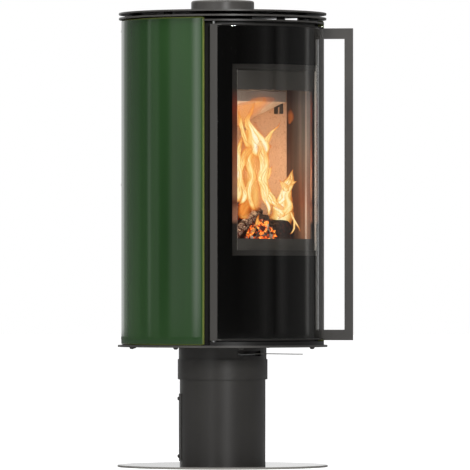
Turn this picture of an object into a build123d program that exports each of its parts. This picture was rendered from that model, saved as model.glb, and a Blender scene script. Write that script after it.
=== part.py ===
from build123d import *

import os
from math import acos, atan2, cos, degrees, hypot, radians, sin

# Round wood stove on a swivel pedestal, with glazed ceramic side panels and a curved glass door.
# Millimetres. The origin is the centre of the base plate's underside, on the floor. +Z is up,
# the door faces -Y, and +X is the right-hand side of someone who faces the door.
# Angles are in degrees about Z, 0 at the front and growing towards +X.

os.makedirs("parts", exist_ok=True)

# ---------------------------------------------------------------- driving dimensions

# Clearances
SEAT_GAP = 0.3            # between faces that rest on each other but may move
RUNNING_GAP = 0.1         # radial gap of a pin in its bore
WELD_GAP = 0.05           # radial gap of a pin or bush that is pressed or welded in
SHEET_GAP = 0.3           # round loose boards, shelves and glass
CUT = 1.0                 # how far a cutter runs past what it cuts
TURN = 360.0

# Pedestal
BASE_RADIUS = 250.0
BASE_THICKNESS = 5.0
BASE_HOLE_RADIUS = 80.0   # lets the outside-air hose come up through the floor
TUBE_RADIUS = 102.0
TUBE_WALL = 3.0
TUBE_LENGTH = 231.0
HATCH_HALF_ANGLE = 48.0   # access opening at the back of the tube
HATCH_LOW = 38.0
HATCH_HEIGHT = 112.0
COVER_WALL = 2.4
COVER_LAP = 24.0          # how far the cover laps the hatch above and below
COVER_LAP_ANGLE = 19.0
COVER_SCREW_INSET = 11.5
COVER_SCREW_INSET_ANGLE = 12.0
SCREW_HEAD_RADIUS = 5.0
SCREW_HEAD_HEIGHT = 2.6

# Swivel bearing between pedestal and stove
BEARING_WIDTH = 15.0
BEARING_DEPTH = 14.0      # from the tube's top down to the bearing's lower ring
BEARING_RING = 8.0        # thickness of the lower ring and of the slide ring
BEARING_UPPER_RING = 6.0
SLIDE_INSET = 0.5
STOP_DEPTH = 6.0
STOP_HALF_ANGLE = 5.0
STOP_OVERLAP_GAP = 2.0
SWIVEL_RANGE = 90.0
STOP_SPARE = 1.0

# Neck of the stove
NECK_GAP = 0.5
NECK_WALL = 2.0
NECK_LAP = 26.0           # how far the neck comes down over the pedestal tube
NECK_RISE = 49.0          # from the pedestal tube's top to the bottom plate
COLLAR_WALL = 2.2
COLLAR_DROP = 2.0         # how far the collar hangs below the neck
COLLAR_HEIGHT = 48.0

# Body
BODY_RADIUS = 241.5       # outside of door and ceramic panels
BOTTOM_OVERHANG = 8.0
BOTTOM_THICKNESS = 5.0
BOTTOM_SCREW_INSET = 22.5
BOTTOM_SCREW_ANGLES = (29.0, 69.0, 111.0, 151.0)

# Combustion air valve
VALVE_GAP = 6.5           # between the valve and the neck
VALVE_WALL = 3.0
DAMPER_INSET = 16.0
DAMPER_THICKNESS = 2.0
DAMPER_TRAVEL = 15.0
PORT_COUNT = 6
PORT_ANGLE = 28.0
PORT_INNER, PORT_OUTER = 18.0, 42.0
LEVER_WIDTH = 14.0
LEVER_OVERHANG = 47.5     # how far the lever stands out past the body
LEVER_DROP = 16.0         # from the bottom plate down to the lever's underside
LEVER_SLOT_HALF_ANGLE = 20.0
LEVER_SLOT_SPARE = 5.0
SPIGOT_RADIUS = 50.0
SPIGOT_WALL = 2.0
SPIGOT_LENGTH = 65.7
VALVE_BOLTS = 3
VALVE_BOLT_RADIUS = 4.0
VALVE_BOLT_INSET = 8.0
PIVOT_RADIUS = 4.0
PIVOT_HEAD_RADIUS = 9.0

# Ceramic panels, and what stands behind them
CERAMIC_WALL = 14.0
CERAMIC_SEAT = 0.5
CERAMIC_RISE = 5.5        # how far the panels stand above the upper frame
CERAMIC_END = 128.5
CERAMIC_EDGE_FILLET = 4.0
CERAMIC_TOP_CHAMFER = 1.5
FELT = 1.5
FELT_GAP = 0.5
FELT_ANGLE = 3.0
FELT_ANGLES = (58.0, 88.0, 118.0)
CASING_WALL = 1.5
CASING_LAP_ANGLE = 2.5    # the casing runs on behind the rear panel's edge, which it carries
PILLAR_WALL = 5.0
PILLAR_WIDTH_ANGLE = 5.0
REAR_PILLAR_INSET_ANGLE = 1.5

# Firebox shell and front frame
SHELL_SIDE_SETBACK = 11.93  # from the hinge and latch, which pass beside the shell
SHELL_REAR_SETBACK = 90.0
SHELL_WALL = 4.0
SHELL_HEAD = 114.0        # from the top of the mouth to the top of the shell
FRAME_WALL = 4.0
FRAME_LAP_ANGLE = 7.3     # how far the frame runs on behind the ceramic
MOUTH_SILL = 21.0
MOUTH_HEIGHT = 350.0
ASH_MOUTH_INSET = 13.0
ASH_MOUTH_HEIGHT = 49.0
ASH_SHELF_HEIGHT = 143.0
ASH_SPACE = 65.0          # between the ash shelf and the firebox floor
PLATE = 3.0               # ash shelf, jambs and other folded sheet

# Lining and contents of the firebox
BRICK = 24.7
BRICK_SETBACK = 127.0     # from the front frame to the front of the side bricks
FLOOR_BRICK = 22.0
LOWER_SIDE_BRICK = 364.0
UPPER_SIDE_BRICK = 68.0
GRATE_WIDTH, GRATE_DEPTH, GRATE_THICKNESS = 188.0, 138.0, 12.0
GRATE_CENTRE_Y = -10.0
GRATE_LEDGE = 9.0
GRATE_GAP = 1.0
GRATE_SLOTS = 9
GRATE_SLOT_WIDTH = 9.0
GRATE_RIM = 14.0
GRATE_RIB = 12.0
BAFFLE_SETBACK = 2.0      # behind the front of the side bricks
BAFFLE_DROP = 23.0        # below the top of the mouth
BAFFLE_RISE = 0.29        # rise per millimetre towards the front
BAFFLE_THICKNESS = 24.0
BRACKET_PLATE = 3.0
BRACKET_SETBACK = 12.0
BRACKET_LENGTH = 30.0
BRACKET_TAB_DEPTH = 10.5
BRACKET_TAB_HEIGHT = 16.0
BRACKET_STRIP = 4.0
ASH_PAN_SETBACK = 79.0
ASH_PAN_DEPTH = 195.0
ASH_PAN_INSET = 12.0
ASH_PAN_HEIGHT = 44.0
ASH_PAN_WALL = 1.5
ASH_PAN_GRIP = 22.0
ASH_PAN_GRIP_HALF_WIDTH = 33.0
AIR_HOLE_WIDTH, AIR_HOLE_DEPTH = 120.0, 44.0
AIR_HOLE_SETBACK = 33.0   # from the back of the firebox

# Logs. Each end of a log is (distance from the left or right brick, y, height above the floor bricks).
LOWER_LOG_RADII = (29.0, 31.0)
LOWER_LOG_ENDS = (
    ((63.0, 70.0), (49.0, -104.0)),
    ((45.0, 46.0), (33.0, -112.0)),
)
LOWER_LOG_GAP = 0.5
TOP_LOG_RADIUS = 25.0
TOP_LOG_LEFT = (21.0, -52.0, 83.3)
TOP_LOG_RIGHT = (37.0, 20.0, 88.0)
BILLET_RADIUS = 15.0
BILLET_FOOT = (151.6, -53.4, 13.2)   # both ends from the right brick
BILLET_HEAD = (34.4, -29.0, 90.0)

# Back
BACK_SETBACK = 1.5
BACK_WALL = 2.0
BACK_GAP_ANGLE = 0.7
BACK_FOOT_GAP = 2.0
BACK_SLOTS = 9
BACK_SLOT_PITCH = 9.0     # degrees
BACK_SLOT_ANGLE = 3.0
BACK_SLOT_HEIGHT = 70.0
BACK_SLOT_FOOT, BACK_SLOT_HEAD = 28.0, 41.0
BACK_SCREW_FOOT, BACK_SCREW_HEAD = 14.0, 25.0
BACK_SCREW_INSET_ANGLE = 4.8

# Top
TOP_SPACE = 46.5          # from the firebox shell to the upper frame
RING_THICKNESS = 4.0
UPPER_FRAME_WIDTH = 34.0
VENT_GAP = 7.5            # between the upper frame, the vent ring and the top plate
VENT_RING_WIDTH = 42.0
TOP_OVERHANG = 5.5
SPACER_RADIUS = 11.0
SPACER_INSET = 11.0
SPACER_ANGLES = (0.0, 77.0, 145.0, 215.0, 283.0)
FLUE_RADIUS = 75.0
FLUE_COLLAR_WALL = 5.0
FLUE_COLLAR_HEIGHT = 29.5
FLUE_ROUNDING = 4.5
FLUE_ROUNDING_SHARE = 0.29  # where a quarter circle crosses its own diagonal
FLUE_PIPE_WALL = 3.0
FLUE_PIPE_DROP = 8.0      # from the collar's top down to the pipe's

# Door
DOOR_FOOT_GAP = 3.0
DOOR_HEAD_GAP = 7.5
DOOR_HALF_ANGLE = 47.0
DOOR_SIDE_GAP_ANGLE = 3.7
DOOR_STRIP_ANGLE = 4.0
DOOR_STRIP_DEPTH = 14.5
DOOR_LIP = 3.0
DOOR_SKIN = 4.0
DOOR_WINDOW_HALF_ANGLE = 31.5
DOOR_WINDOW_SILL, DOOR_WINDOW_HEAD = 27.5, 47.5
GLASS = 4.0
GASKET_WIDTH, GASKET_THICKNESS = 8.0, 4.0
SEAL_WIDTH = 10.0
SEAL_INSET = 10.0
SEAL_INSET_ANGLE = 6.5
RAIL_HEIGHT = 9.0
RAIL_SHEET = 2.5

# Door hinge
HINGE_INSET_ANGLE = 1.9
HINGE_PIN_RADIUS = 4.0
HINGE_PIN_SETBACK = 2.0
BUSH_WALL = 1.1
BUSH_LENGTH = 20.0
THRUST_COLLAR_RADIUS = 6.0

# Handle
HANDLE_STANDOFF = 49.5
HANDLE_DEPTH = 20.0
HANDLE_WIDTH = 12.0
HANDLE_FOOT_DROP = 1.0    # below the door
HANDLE_HEAD_DROP = 2.0    # from the door's top down to the handle's
HANDLE_ARM_HEIGHT = 25.0
HANDLE_SCREW_RADIUS = 3.0
HANDLE_SCREW_HEAD_RADIUS = 5.0
HANDLE_SCREW_HEAD = 4.0
HANDLE_SCREW_BITE = 12.0

# Latch: a blade on the door slides past a roller on the firebox shell
LATCH_RISE = 370.0        # above the door's lower edge
BLADE_HEIGHT = 24.0
BLADE_WALL = 3.0
BLADE_INSET = 4.86        # from the latch side's mirror image of the hinge to the blade
BLADE_TIP_LAP_ANGLE = 1.8 # about the hinge axis, past the roller
BLADE_GAP = 0.4
ROLLER_RADIUS = 5.0
ROLLER_SETBACK = 7.3      # from the front frame's inner face to the roller's axis
ROLLER_HALF_HEIGHT = 18.0
ROLLER_PIN_RADIUS = 2.5
LATCH_LUG = 3.0
LATCH_LUG_WIDTH = 10.0
LATCH_FOOT_GAP = 2.0
LATCH_SLOT_SPARE = 3.0

# ---------------------------------------------------------------- derived radii and angles

TUBE_INNER = TUBE_RADIUS - TUBE_WALL
BEARING_INNER = TUBE_INNER - BEARING_WIDTH
STOP_INNER = BEARING_INNER - STOP_DEPTH
NECK_INNER = TUBE_RADIUS + NECK_GAP
NECK_RADIUS = NECK_INNER + NECK_WALL
COLLAR_INNER = NECK_RADIUS + SEAT_GAP
VALVE_RADIUS = NECK_INNER - VALVE_GAP
DAMPER_RADIUS = VALVE_RADIUS - DAMPER_INSET
BOTTOM_RADIUS = BODY_RADIUS + BOTTOM_OVERHANG
LEVER_REACH = BODY_RADIUS + LEVER_OVERHANG

CERAMIC_INNER = BODY_RADIUS - CERAMIC_WALL
CASING_RADIUS = CERAMIC_INNER - FELT_GAP - FELT
PILLAR_RADIUS = CASING_RADIUS - CASING_WALL
FRAME_RADIUS = PILLAR_RADIUS - PILLAR_WALL
FRAME_INNER = FRAME_RADIUS - FRAME_WALL
BACK_RADIUS = BODY_RADIUS - BACK_SETBACK
TOP_RADIUS = BODY_RADIUS + TOP_OVERHANG
SPACER_CIRCLE = PILLAR_RADIUS - SPACER_INSET
FLUE_BORE = FLUE_RADIUS - FLUE_COLLAR_WALL

HINGE_RADIUS = BODY_RADIUS - DOOR_STRIP_DEPTH / 2
HINGE_ANGLE = HINGE_INSET_ANGLE - DOOR_HALF_ANGLE
HINGE_SIDE = HINGE_RADIUS * sin(radians(-HINGE_ANGLE))

SHELL_HALF_WIDTH = HINGE_SIDE - SHELL_SIDE_SETBACK
SHELL_BACK = FRAME_RADIUS - SHELL_REAR_SETBACK
SHELL_INNER_HALF = SHELL_HALF_WIDTH - SHELL_WALL
SHELL_INNER_BACK = SHELL_BACK - SHELL_WALL
MOUTH_HALF_WIDTH = SHELL_INNER_HALF - SHEET_GAP - BRICK
ASH_MOUTH_HALF_WIDTH = MOUTH_HALF_WIDTH - ASH_MOUTH_INSET
ASH_PAN_HALF_WIDTH = ASH_MOUTH_HALF_WIDTH - ASH_PAN_INSET
BRICK_FRONT = BRICK_SETBACK - FRAME_INNER
BAFFLE_FRONT_Y = BRICK_FRONT + BAFFLE_SETBACK
BRACKET_FRONT_Y = BRICK_FRONT + BRACKET_SETBACK
BRACKET_BACK_Y = BRACKET_FRONT_Y + BRACKET_LENGTH
ASH_PAN_FRONT_Y = ASH_PAN_SETBACK - FRAME_RADIUS

GLASS_INNER = BODY_RADIUS - GLASS
DOOR_SKIN_OUTER = GLASS_INNER - GASKET_THICKNESS
DOOR_SKIN_INNER = DOOR_SKIN_OUTER - DOOR_SKIN
DOOR_STRIP_INNER = BODY_RADIUS - DOOR_STRIP_DEPTH
DOOR_SKIN_HALF_ANGLE = DOOR_HALF_ANGLE - DOOR_STRIP_ANGLE
GLASS_HALF_ANGLE = DOOR_SKIN_HALF_ANGLE - degrees(SHEET_GAP / BODY_RADIUS)
SEAL_HALF_ANGLE = DOOR_HALF_ANGLE - SEAL_INSET_ANGLE
CERAMIC_START = DOOR_HALF_ANGLE + DOOR_SIDE_GAP_ANGLE
FRAME_HALF_ANGLE = CERAMIC_START + FRAME_LAP_ANGLE
BACK_START = CERAMIC_END + BACK_GAP_ANGLE
BACK_SCREW_ANGLE = BACK_START + BACK_SCREW_INSET_ANGLE
HANDLE_ANGLE = DOOR_HALF_ANGLE - DOOR_STRIP_ANGLE / 2
HANDLE_INNER = BODY_RADIUS + HANDLE_STANDOFF
HANDLE_OUTER = HANDLE_INNER + HANDLE_DEPTH
BUSH_RADIUS = HINGE_PIN_RADIUS + RUNNING_GAP + BUSH_WALL
BLADE_REACH = 2 * HINGE_SIDE - BLADE_INSET

# ---------------------------------------------------------------- derived heights

TUBE_TOP = BASE_THICKNESS + TUBE_LENGTH
HATCH_HIGH = HATCH_LOW + HATCH_HEIGHT
COVER_LOW, COVER_HIGH = HATCH_LOW - COVER_LAP, HATCH_HIGH + COVER_LAP
BEARING_LOW = TUBE_TOP - BEARING_DEPTH
SLIDE_LOW = BEARING_LOW + BEARING_RING
BEARING_UPPER_LOW = SLIDE_LOW + BEARING_RING + SEAT_GAP
NECK_LOW = TUBE_TOP - NECK_LAP
COLLAR_LOW = NECK_LOW - COLLAR_DROP

BOTTOM_LOW = TUBE_TOP + NECK_RISE
BOTTOM_TOP = BOTTOM_LOW + BOTTOM_THICKNESS
LEVER_LOW = BOTTOM_LOW - LEVER_DROP
LEVER_HIGH = LEVER_LOW + DAMPER_THICKNESS
VALVE_FLOOR_LOW = LEVER_HIGH + SEAT_GAP
VALVE_FLOOR_HIGH = VALVE_FLOOR_LOW + VALVE_WALL
VALVE_FLANGE_HIGH = LEVER_LOW - SEAT_GAP
VALVE_FLANGE_LOW = VALVE_FLANGE_HIGH - VALVE_WALL

ASH_SHELF_TOP = BOTTOM_TOP + ASH_SHELF_HEIGHT
ASH_MOUTH_HIGH = ASH_SHELF_TOP + ASH_MOUTH_HEIGHT
FLOOR_STEEL_TOP = ASH_SHELF_TOP + ASH_SPACE
FLOOR_BRICK_TOP = FLOOR_STEEL_TOP + FLOOR_BRICK
SIDE_BRICK_JOINT = FLOOR_STEEL_TOP + LOWER_SIDE_BRICK
SIDE_BRICK_TOP = SIDE_BRICK_JOINT + UPPER_SIDE_BRICK
MOUTH_LOW = FLOOR_BRICK_TOP + MOUTH_SILL
MOUTH_HIGH = MOUTH_LOW + MOUTH_HEIGHT
SHELL_TOP = MOUTH_HIGH + SHELL_HEAD

UPPER_FRAME_LOW = SHELL_TOP + TOP_SPACE
UPPER_FRAME_TOP = UPPER_FRAME_LOW + RING_THICKNESS
CERAMIC_TOP = UPPER_FRAME_TOP + CERAMIC_RISE
VENT_RING_LOW = UPPER_FRAME_TOP + VENT_GAP
VENT_RING_TOP = VENT_RING_LOW + RING_THICKNESS
TOP_LOW = VENT_RING_TOP + VENT_GAP
TOP_HIGH = TOP_LOW + RING_THICKNESS
FLUE_TOP = TOP_HIGH + FLUE_COLLAR_HEIGHT
BACK_LOW = BOTTOM_TOP + BACK_FOOT_GAP

RAIL_HIGH = BOTTOM_TOP + RAIL_HEIGHT
DOOR_LOW = RAIL_HIGH + DOOR_FOOT_GAP
DOOR_HIGH = UPPER_FRAME_LOW - DOOR_HEAD_GAP
GLASS_LOW = DOOR_LOW + DOOR_LIP + SHEET_GAP
GLASS_HIGH = DOOR_HIGH - DOOR_LIP - SHEET_GAP
HANDLE_LOW = DOOR_LOW - HANDLE_FOOT_DROP
HANDLE_HIGH = DOOR_HIGH - HANDLE_HEAD_DROP
LATCH_HEIGHT = DOOR_LOW + LATCH_RISE

# Section plane through the front, whose x is the radius and whose y is the height
RADIAL = Plane(origin=(0, 0, 0), x_dir=(0, -1, 0), z_dir=(-1, 0, 0))


# ---------------------------------------------------------------- shapes

def at(radius, angle, height=0.0):
    """The point at a radius, at an angle from the front."""
    return Vector(radius * sin(radians(angle)), -radius * cos(radians(angle)), height)


def turned(profile, start=0.0, end=TURN):
    """A profile of (radius, height) points, turned about Z from one angle to another."""
    section = RADIAL * make_face(Polyline(*profile, close=True))
    return Rot(0, 0, start) * revolve(section, Axis.Z, end - start)


def round_wall(inner, outer, low, high, start=0.0, end=TURN):
    """A ring, or the part of one between two angles."""
    return turned([(inner, low), (outer, low), (outer, high), (inner, high)], start, end)


def disc(radius, low, high):
    """A flat round plate on the stove's axis."""
    return rod((0, 0), radius, low, high)


def rod(place, radius, low, high):
    """An upright round bar."""
    place = Vector(place)
    return Pos(place.X, place.Y, (low + high) / 2) * Cylinder(radius, high - low)


def block(x, y, z):
    """A box between pairs of limits."""
    middle = [(low + high) / 2 for low, high in (x, y, z)]
    return Pos(*middle) * Box(x[1] - x[0], y[1] - y[0], z[1] - z[0])


def radial_bar(angle, inner, outer, width, low, high):
    """A straight bar that points away from the axis."""
    bar = block((-width / 2, width / 2), (-outer, -inner), (low, high))
    return Rot(0, 0, angle) * bar


def mirrored(shape):
    """The same piece on the other side of the stove."""
    return mirror(shape, Plane.YZ)


def together(*shapes):
    """Separate solids that share a node."""
    return Compound([solid for shape in shapes for solid in shape.solids()])


def facing(place, direction):
    """The location of something that sits at a place and points in a direction."""
    return Plane(origin=place, z_dir=direction).location


def behind(half_angle):
    """The start and end angles of a sector at the back of the stove."""
    return TURN / 2 - half_angle, TURN / 2 + half_angle


def screw_head():
    """A low hexagon screw head with its seat at the origin, pointing up."""
    return extrude(RegularPolygon(SCREW_HEAD_RADIUS, 6), SCREW_HEAD_HEIGHT)


def outward_heads(radius, angles, heights):
    """Screw heads on a round wall."""
    return together(*[
        facing(at(radius, angle, height), at(1, angle)) * screw_head()
        for angle in angles for height in heights
    ])


HINGE = at(HINGE_RADIUS, HINGE_ANGLE)


def about_hinge(radius, angle):
    """The point at a radius from the hinge axis, at an angle from the +X direction."""
    return Vector(HINGE.X + radius * cos(radians(angle)), HINGE.Y + radius * sin(radians(angle)))


def roller_angle(reach, radius):
    """The angle about the hinge of a point at a reach from it, at a radius from the stove's axis."""
    cosine = (HINGE_RADIUS**2 + reach**2 - radius**2) / (2 * HINGE_RADIUS * reach)
    return degrees(atan2(-HINGE.Y, -HINGE.X)) - degrees(acos(cosine))


ROLLER_REACH = BLADE_REACH + BLADE_GAP + ROLLER_RADIUS
ROLLER_ANGLE = roller_angle(ROLLER_REACH, FRAME_INNER - ROLLER_SETBACK)
BLADE_TIP_ANGLE = ROLLER_ANGLE + BLADE_TIP_LAP_ANGLE
ROLLER = about_hinge(ROLLER_REACH, ROLLER_ANGLE)


# ---------------------------------------------------------------- pedestal

def base_plate():
    return disc(BASE_RADIUS, 0, BASE_THICKNESS) - disc(BASE_HOLE_RADIUS, -CUT, BASE_THICKNESS + CUT)


def pedestal_tube():
    tube = round_wall(TUBE_INNER, TUBE_RADIUS, BASE_THICKNESS, TUBE_TOP)
    hatch = round_wall(
        TUBE_INNER - CUT, TUBE_RADIUS + CUT, HATCH_LOW, HATCH_HIGH, *behind(HATCH_HALF_ANGLE)
    )
    return tube - hatch


def pedestal_rear_cover():
    return round_wall(
        TUBE_RADIUS, TUBE_RADIUS + COVER_WALL, COVER_LOW, COVER_HIGH,
        *behind(HATCH_HALF_ANGLE + COVER_LAP_ANGLE),
    )


def rear_cover_screws():
    angles = behind(HATCH_HALF_ANGLE + COVER_LAP_ANGLE - COVER_SCREW_INSET_ANGLE)
    heights = (COVER_LOW + COVER_SCREW_INSET, COVER_HIGH - COVER_SCREW_INSET)
    return outward_heads(TUBE_RADIUS + COVER_WALL, angles, heights)


def swivel_lower_ring():
    ring = round_wall(BEARING_INNER, TUBE_INNER, BEARING_LOW, SLIDE_LOW)
    first = SWIVEL_RANGE + STOP_HALF_ANGLE + STOP_SPARE
    stop = round_wall(
        STOP_INNER, BEARING_INNER, BEARING_LOW, SLIDE_LOW, first, first + 2 * STOP_HALF_ANGLE
    )
    return ring + stop + mirrored(stop)


def swivel_slide_ring():
    return round_wall(
        BEARING_INNER + SLIDE_INSET, TUBE_INNER - SLIDE_INSET, SLIDE_LOW, SLIDE_LOW + BEARING_RING
    )


# ---------------------------------------------------------------- neck and air valve

def swivel_upper_ring():
    high = BEARING_UPPER_LOW + BEARING_UPPER_RING
    ring = round_wall(BEARING_INNER, NECK_INNER, BEARING_UPPER_LOW, high)
    lug = round_wall(
        STOP_INNER, BEARING_INNER, BEARING_LOW + STOP_OVERLAP_GAP, high,
        -STOP_HALF_ANGLE, STOP_HALF_ANGLE,
    )
    return ring + lug


def neck_tube():
    tube = round_wall(NECK_INNER, NECK_RADIUS, NECK_LOW, BOTTOM_LOW)
    slot = round_wall(
        NECK_INNER - CUT, NECK_RADIUS + CUT, LEVER_LOW - LEVER_SLOT_SPARE, LEVER_HIGH + LEVER_SLOT_SPARE,
        -LEVER_SLOT_HALF_ANGLE, LEVER_SLOT_HALF_ANGLE,
    )
    return tube - slot


def swivel_collar():
    return round_wall(
        COLLAR_INNER, COLLAR_INNER + COLLAR_WALL, COLLAR_LOW, COLLAR_LOW + COLLAR_HEIGHT
    )


def ports(low, high, turn):
    """The air ports of the valve, as cutters."""
    pitch = TURN / PORT_COUNT
    return together(*[
        round_wall(
            PORT_INNER, PORT_OUTER, low, high,
            turn + step * pitch - PORT_ANGLE / 2, turn + step * pitch + PORT_ANGLE / 2,
        )
        for step in range(PORT_COUNT)
    ])


def air_chamber():
    low, high = VALVE_FLOOR_LOW, VALVE_FLOOR_HIGH
    floor = disc(VALVE_RADIUS, low, high) - ports(low - CUT, high + CUT, 0)
    wall = round_wall(VALVE_RADIUS - VALVE_WALL, VALVE_RADIUS, high, BOTTOM_LOW)
    return floor + wall - disc(PIVOT_RADIUS + WELD_GAP, low - CUT, high + CUT)


def damper_pivot():
    pin = disc(PIVOT_RADIUS, VALVE_FLANGE_HIGH, VALVE_FLOOR_HIGH)
    return pin + disc(PIVOT_HEAD_RADIUS, VALVE_FLANGE_LOW, VALVE_FLANGE_HIGH)


def air_lever():
    z = (LEVER_LOW, LEVER_HIGH)
    tip_centre = LEVER_REACH - LEVER_WIDTH / 2
    arm = radial_bar(0, DAMPER_RADIUS - LEVER_WIDTH, tip_centre, LEVER_WIDTH, *z)
    lever = disc(DAMPER_RADIUS, *z) + arm + rod(at(tip_centre, 0), LEVER_WIDTH / 2, *z)
    bore = disc(PIVOT_RADIUS + RUNNING_GAP, LEVER_LOW - CUT, LEVER_HIGH + CUT)
    return lever - ports(LEVER_LOW - CUT, LEVER_HIGH + CUT, DAMPER_TRAVEL) - bore


def air_spigot():
    bore = SPIGOT_RADIUS - SPIGOT_WALL
    flange = round_wall(bore, VALVE_RADIUS, VALVE_FLANGE_LOW, VALVE_FLANGE_HIGH)
    return flange + round_wall(bore, SPIGOT_RADIUS, VALVE_FLANGE_LOW - SPIGOT_LENGTH, VALVE_FLANGE_LOW)


def air_spigot_spacers():
    circle = VALVE_RADIUS - VALVE_BOLT_INSET
    gap = (VALVE_FLANGE_HIGH, VALVE_FLOOR_LOW)
    return together(*[
        rod(at(circle, (step + 0.5) * TURN / VALVE_BOLTS), VALVE_BOLT_RADIUS, *gap)
        for step in range(VALVE_BOLTS)
    ])


# ---------------------------------------------------------------- body structure

def bottom_plate():
    opening = disc(VALVE_RADIUS - VALVE_WALL, BOTTOM_LOW - CUT, BOTTOM_TOP + CUT)
    return disc(BOTTOM_RADIUS, BOTTOM_LOW, BOTTOM_TOP) - opening


def bottom_plate_screws():
    angles = [side * angle for side in (1, -1) for angle in BOTTOM_SCREW_ANGLES]
    return together(*[
        facing(at(BOTTOM_RADIUS - BOTTOM_SCREW_INSET, angle, BOTTOM_LOW), (0, 0, -1)) * screw_head()
        for angle in angles
    ])


def firebox_shell():
    deep = -FRAME_INNER
    outer = block((-SHELL_HALF_WIDTH, SHELL_HALF_WIDTH), (deep, SHELL_BACK), (BOTTOM_TOP, SHELL_TOP))
    hollow = block(
        (-SHELL_INNER_HALF, SHELL_INNER_HALF),
        (deep - CUT, SHELL_INNER_BACK),
        (BOTTOM_TOP - CUT, SHELL_TOP - SHELL_WALL),
    )
    flue_hole = disc(FLUE_BORE, SHELL_TOP - SHELL_WALL - CUT, SHELL_TOP + CUT)
    return (outer - hollow - flue_hole) & disc(FRAME_INNER, BOTTOM_TOP, SHELL_TOP)


def front_frame():
    frame = round_wall(
        FRAME_INNER, FRAME_RADIUS, BOTTOM_TOP, UPPER_FRAME_LOW, -FRAME_HALF_ANGLE, FRAME_HALF_ANGLE
    )
    front = (-FRAME_RADIUS - CUT, BRICK_FRONT)
    mouth = block((-MOUTH_HALF_WIDTH, MOUTH_HALF_WIDTH), front, (MOUTH_LOW, MOUTH_HIGH))
    ash_mouth = block(
        (-ASH_MOUTH_HALF_WIDTH, ASH_MOUTH_HALF_WIDTH), front, (ASH_SHELF_TOP, ASH_MOUTH_HIGH)
    )
    blade_x = about_hinge(BLADE_REACH, ROLLER_ANGLE / 2).X
    slot_x = (blade_x - BLADE_WALL - LATCH_SLOT_SPARE, blade_x + LATCH_SLOT_SPARE)
    slot_half = BLADE_HEIGHT / 2 + LATCH_SLOT_SPARE
    latch_slot = block(slot_x, front, (LATCH_HEIGHT - slot_half, LATCH_HEIGHT + slot_half))
    return frame - mouth - ash_mouth - latch_slot


def frame_pillars():
    front = round_wall(
        FRAME_RADIUS, PILLAR_RADIUS, BOTTOM_TOP, UPPER_FRAME_LOW,
        FRAME_HALF_ANGLE - PILLAR_WIDTH_ANGLE, FRAME_HALF_ANGLE,
    )
    rear_end = CERAMIC_END - REAR_PILLAR_INSET_ANGLE
    rear = round_wall(
        FRAME_RADIUS, PILLAR_RADIUS, BOTTOM_TOP, UPPER_FRAME_LOW, rear_end - PILLAR_WIDTH_ANGLE, rear_end
    )
    return together(front, rear, mirrored(front), mirrored(rear))


def lower_front_rail():
    face = round_wall(
        BODY_RADIUS - RAIL_SHEET, BODY_RADIUS, BOTTOM_TOP, RAIL_HIGH, -DOOR_HALF_ANGLE, DOOR_HALF_ANGLE
    )
    ledge = round_wall(
        FRAME_RADIUS, BODY_RADIUS, RAIL_HIGH - RAIL_SHEET, RAIL_HIGH, -DOOR_HALF_ANGLE, DOOR_HALF_ANGLE
    )
    return face + ledge - rod(HINGE, HINGE_PIN_RADIUS + WELD_GAP, BOTTOM_TOP - CUT, RAIL_HIGH + CUT)


def upper_frame():
    inner = PILLAR_RADIUS - UPPER_FRAME_WIDTH
    ring = round_wall(inner, PILLAR_RADIUS, UPPER_FRAME_LOW, UPPER_FRAME_TOP)
    lobe = CERAMIC_START - SEAT_GAP
    front = round_wall(inner, BODY_RADIUS, UPPER_FRAME_LOW, UPPER_FRAME_TOP, -lobe, lobe)
    return ring + front - rod(HINGE, HINGE_PIN_RADIUS + WELD_GAP, UPPER_FRAME_LOW - CUT, UPPER_FRAME_TOP + CUT)


def inner_casing():
    return round_wall(
        PILLAR_RADIUS, CASING_RADIUS, BOTTOM_TOP, UPPER_FRAME_TOP,
        FRAME_HALF_ANGLE - PILLAR_WIDTH_ANGLE, BACK_START + CASING_LAP_ANGLE,
    )


def ceramic_panel():
    panel = round_wall(
        CERAMIC_INNER, BODY_RADIUS, BOTTOM_TOP + CERAMIC_SEAT, CERAMIC_TOP, CERAMIC_START, CERAMIC_END
    )
    upright = panel.edges().filter_by(Axis.Z)
    outer = [edge for edge in upright if hypot(edge.center().X, edge.center().Y) > BODY_RADIUS - CUT]
    panel = fillet(outer, CERAMIC_EDGE_FILLET)
    rim = panel.faces().sort_by(Axis.Z)[-1].edges().filter_by(GeomType.CIRCLE)
    widest = max(rim, key=lambda edge: edge.length)
    return chamfer(widest, CERAMIC_TOP_CHAMFER)


def felt_strips():
    strips = [
        round_wall(
            CASING_RADIUS, CASING_RADIUS + FELT, BOTTOM_TOP + CERAMIC_SEAT, UPPER_FRAME_LOW,
            angle, angle + FELT_ANGLE,
        )
        for angle in FELT_ANGLES
    ]
    return together(*strips, *[mirrored(strip) for strip in strips])


def rear_panel():
    inner = BACK_RADIUS - BACK_WALL
    panel = round_wall(inner, BACK_RADIUS, BACK_LOW, CERAMIC_TOP, BACK_START, TURN - BACK_START)
    fold = degrees(BACK_WALL / BACK_RADIUS)
    foot = CASING_RADIUS + SEAT_GAP
    flange = round_wall(foot, inner, BACK_LOW, CERAMIC_TOP, BACK_START, BACK_START + fold)
    panel = panel + flange + mirrored(flange)
    for low in (BACK_LOW + BACK_SLOT_FOOT, CERAMIC_TOP - BACK_SLOT_HEAD - BACK_SLOT_HEIGHT):
        for step in range(BACK_SLOTS):
            middle = TURN / 2 + (step - (BACK_SLOTS - 1) / 2) * BACK_SLOT_PITCH
            panel -= round_wall(
                inner - CUT, BACK_RADIUS + CUT, low, low + BACK_SLOT_HEIGHT,
                middle - BACK_SLOT_ANGLE / 2, middle + BACK_SLOT_ANGLE / 2,
            )
    return panel


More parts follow.
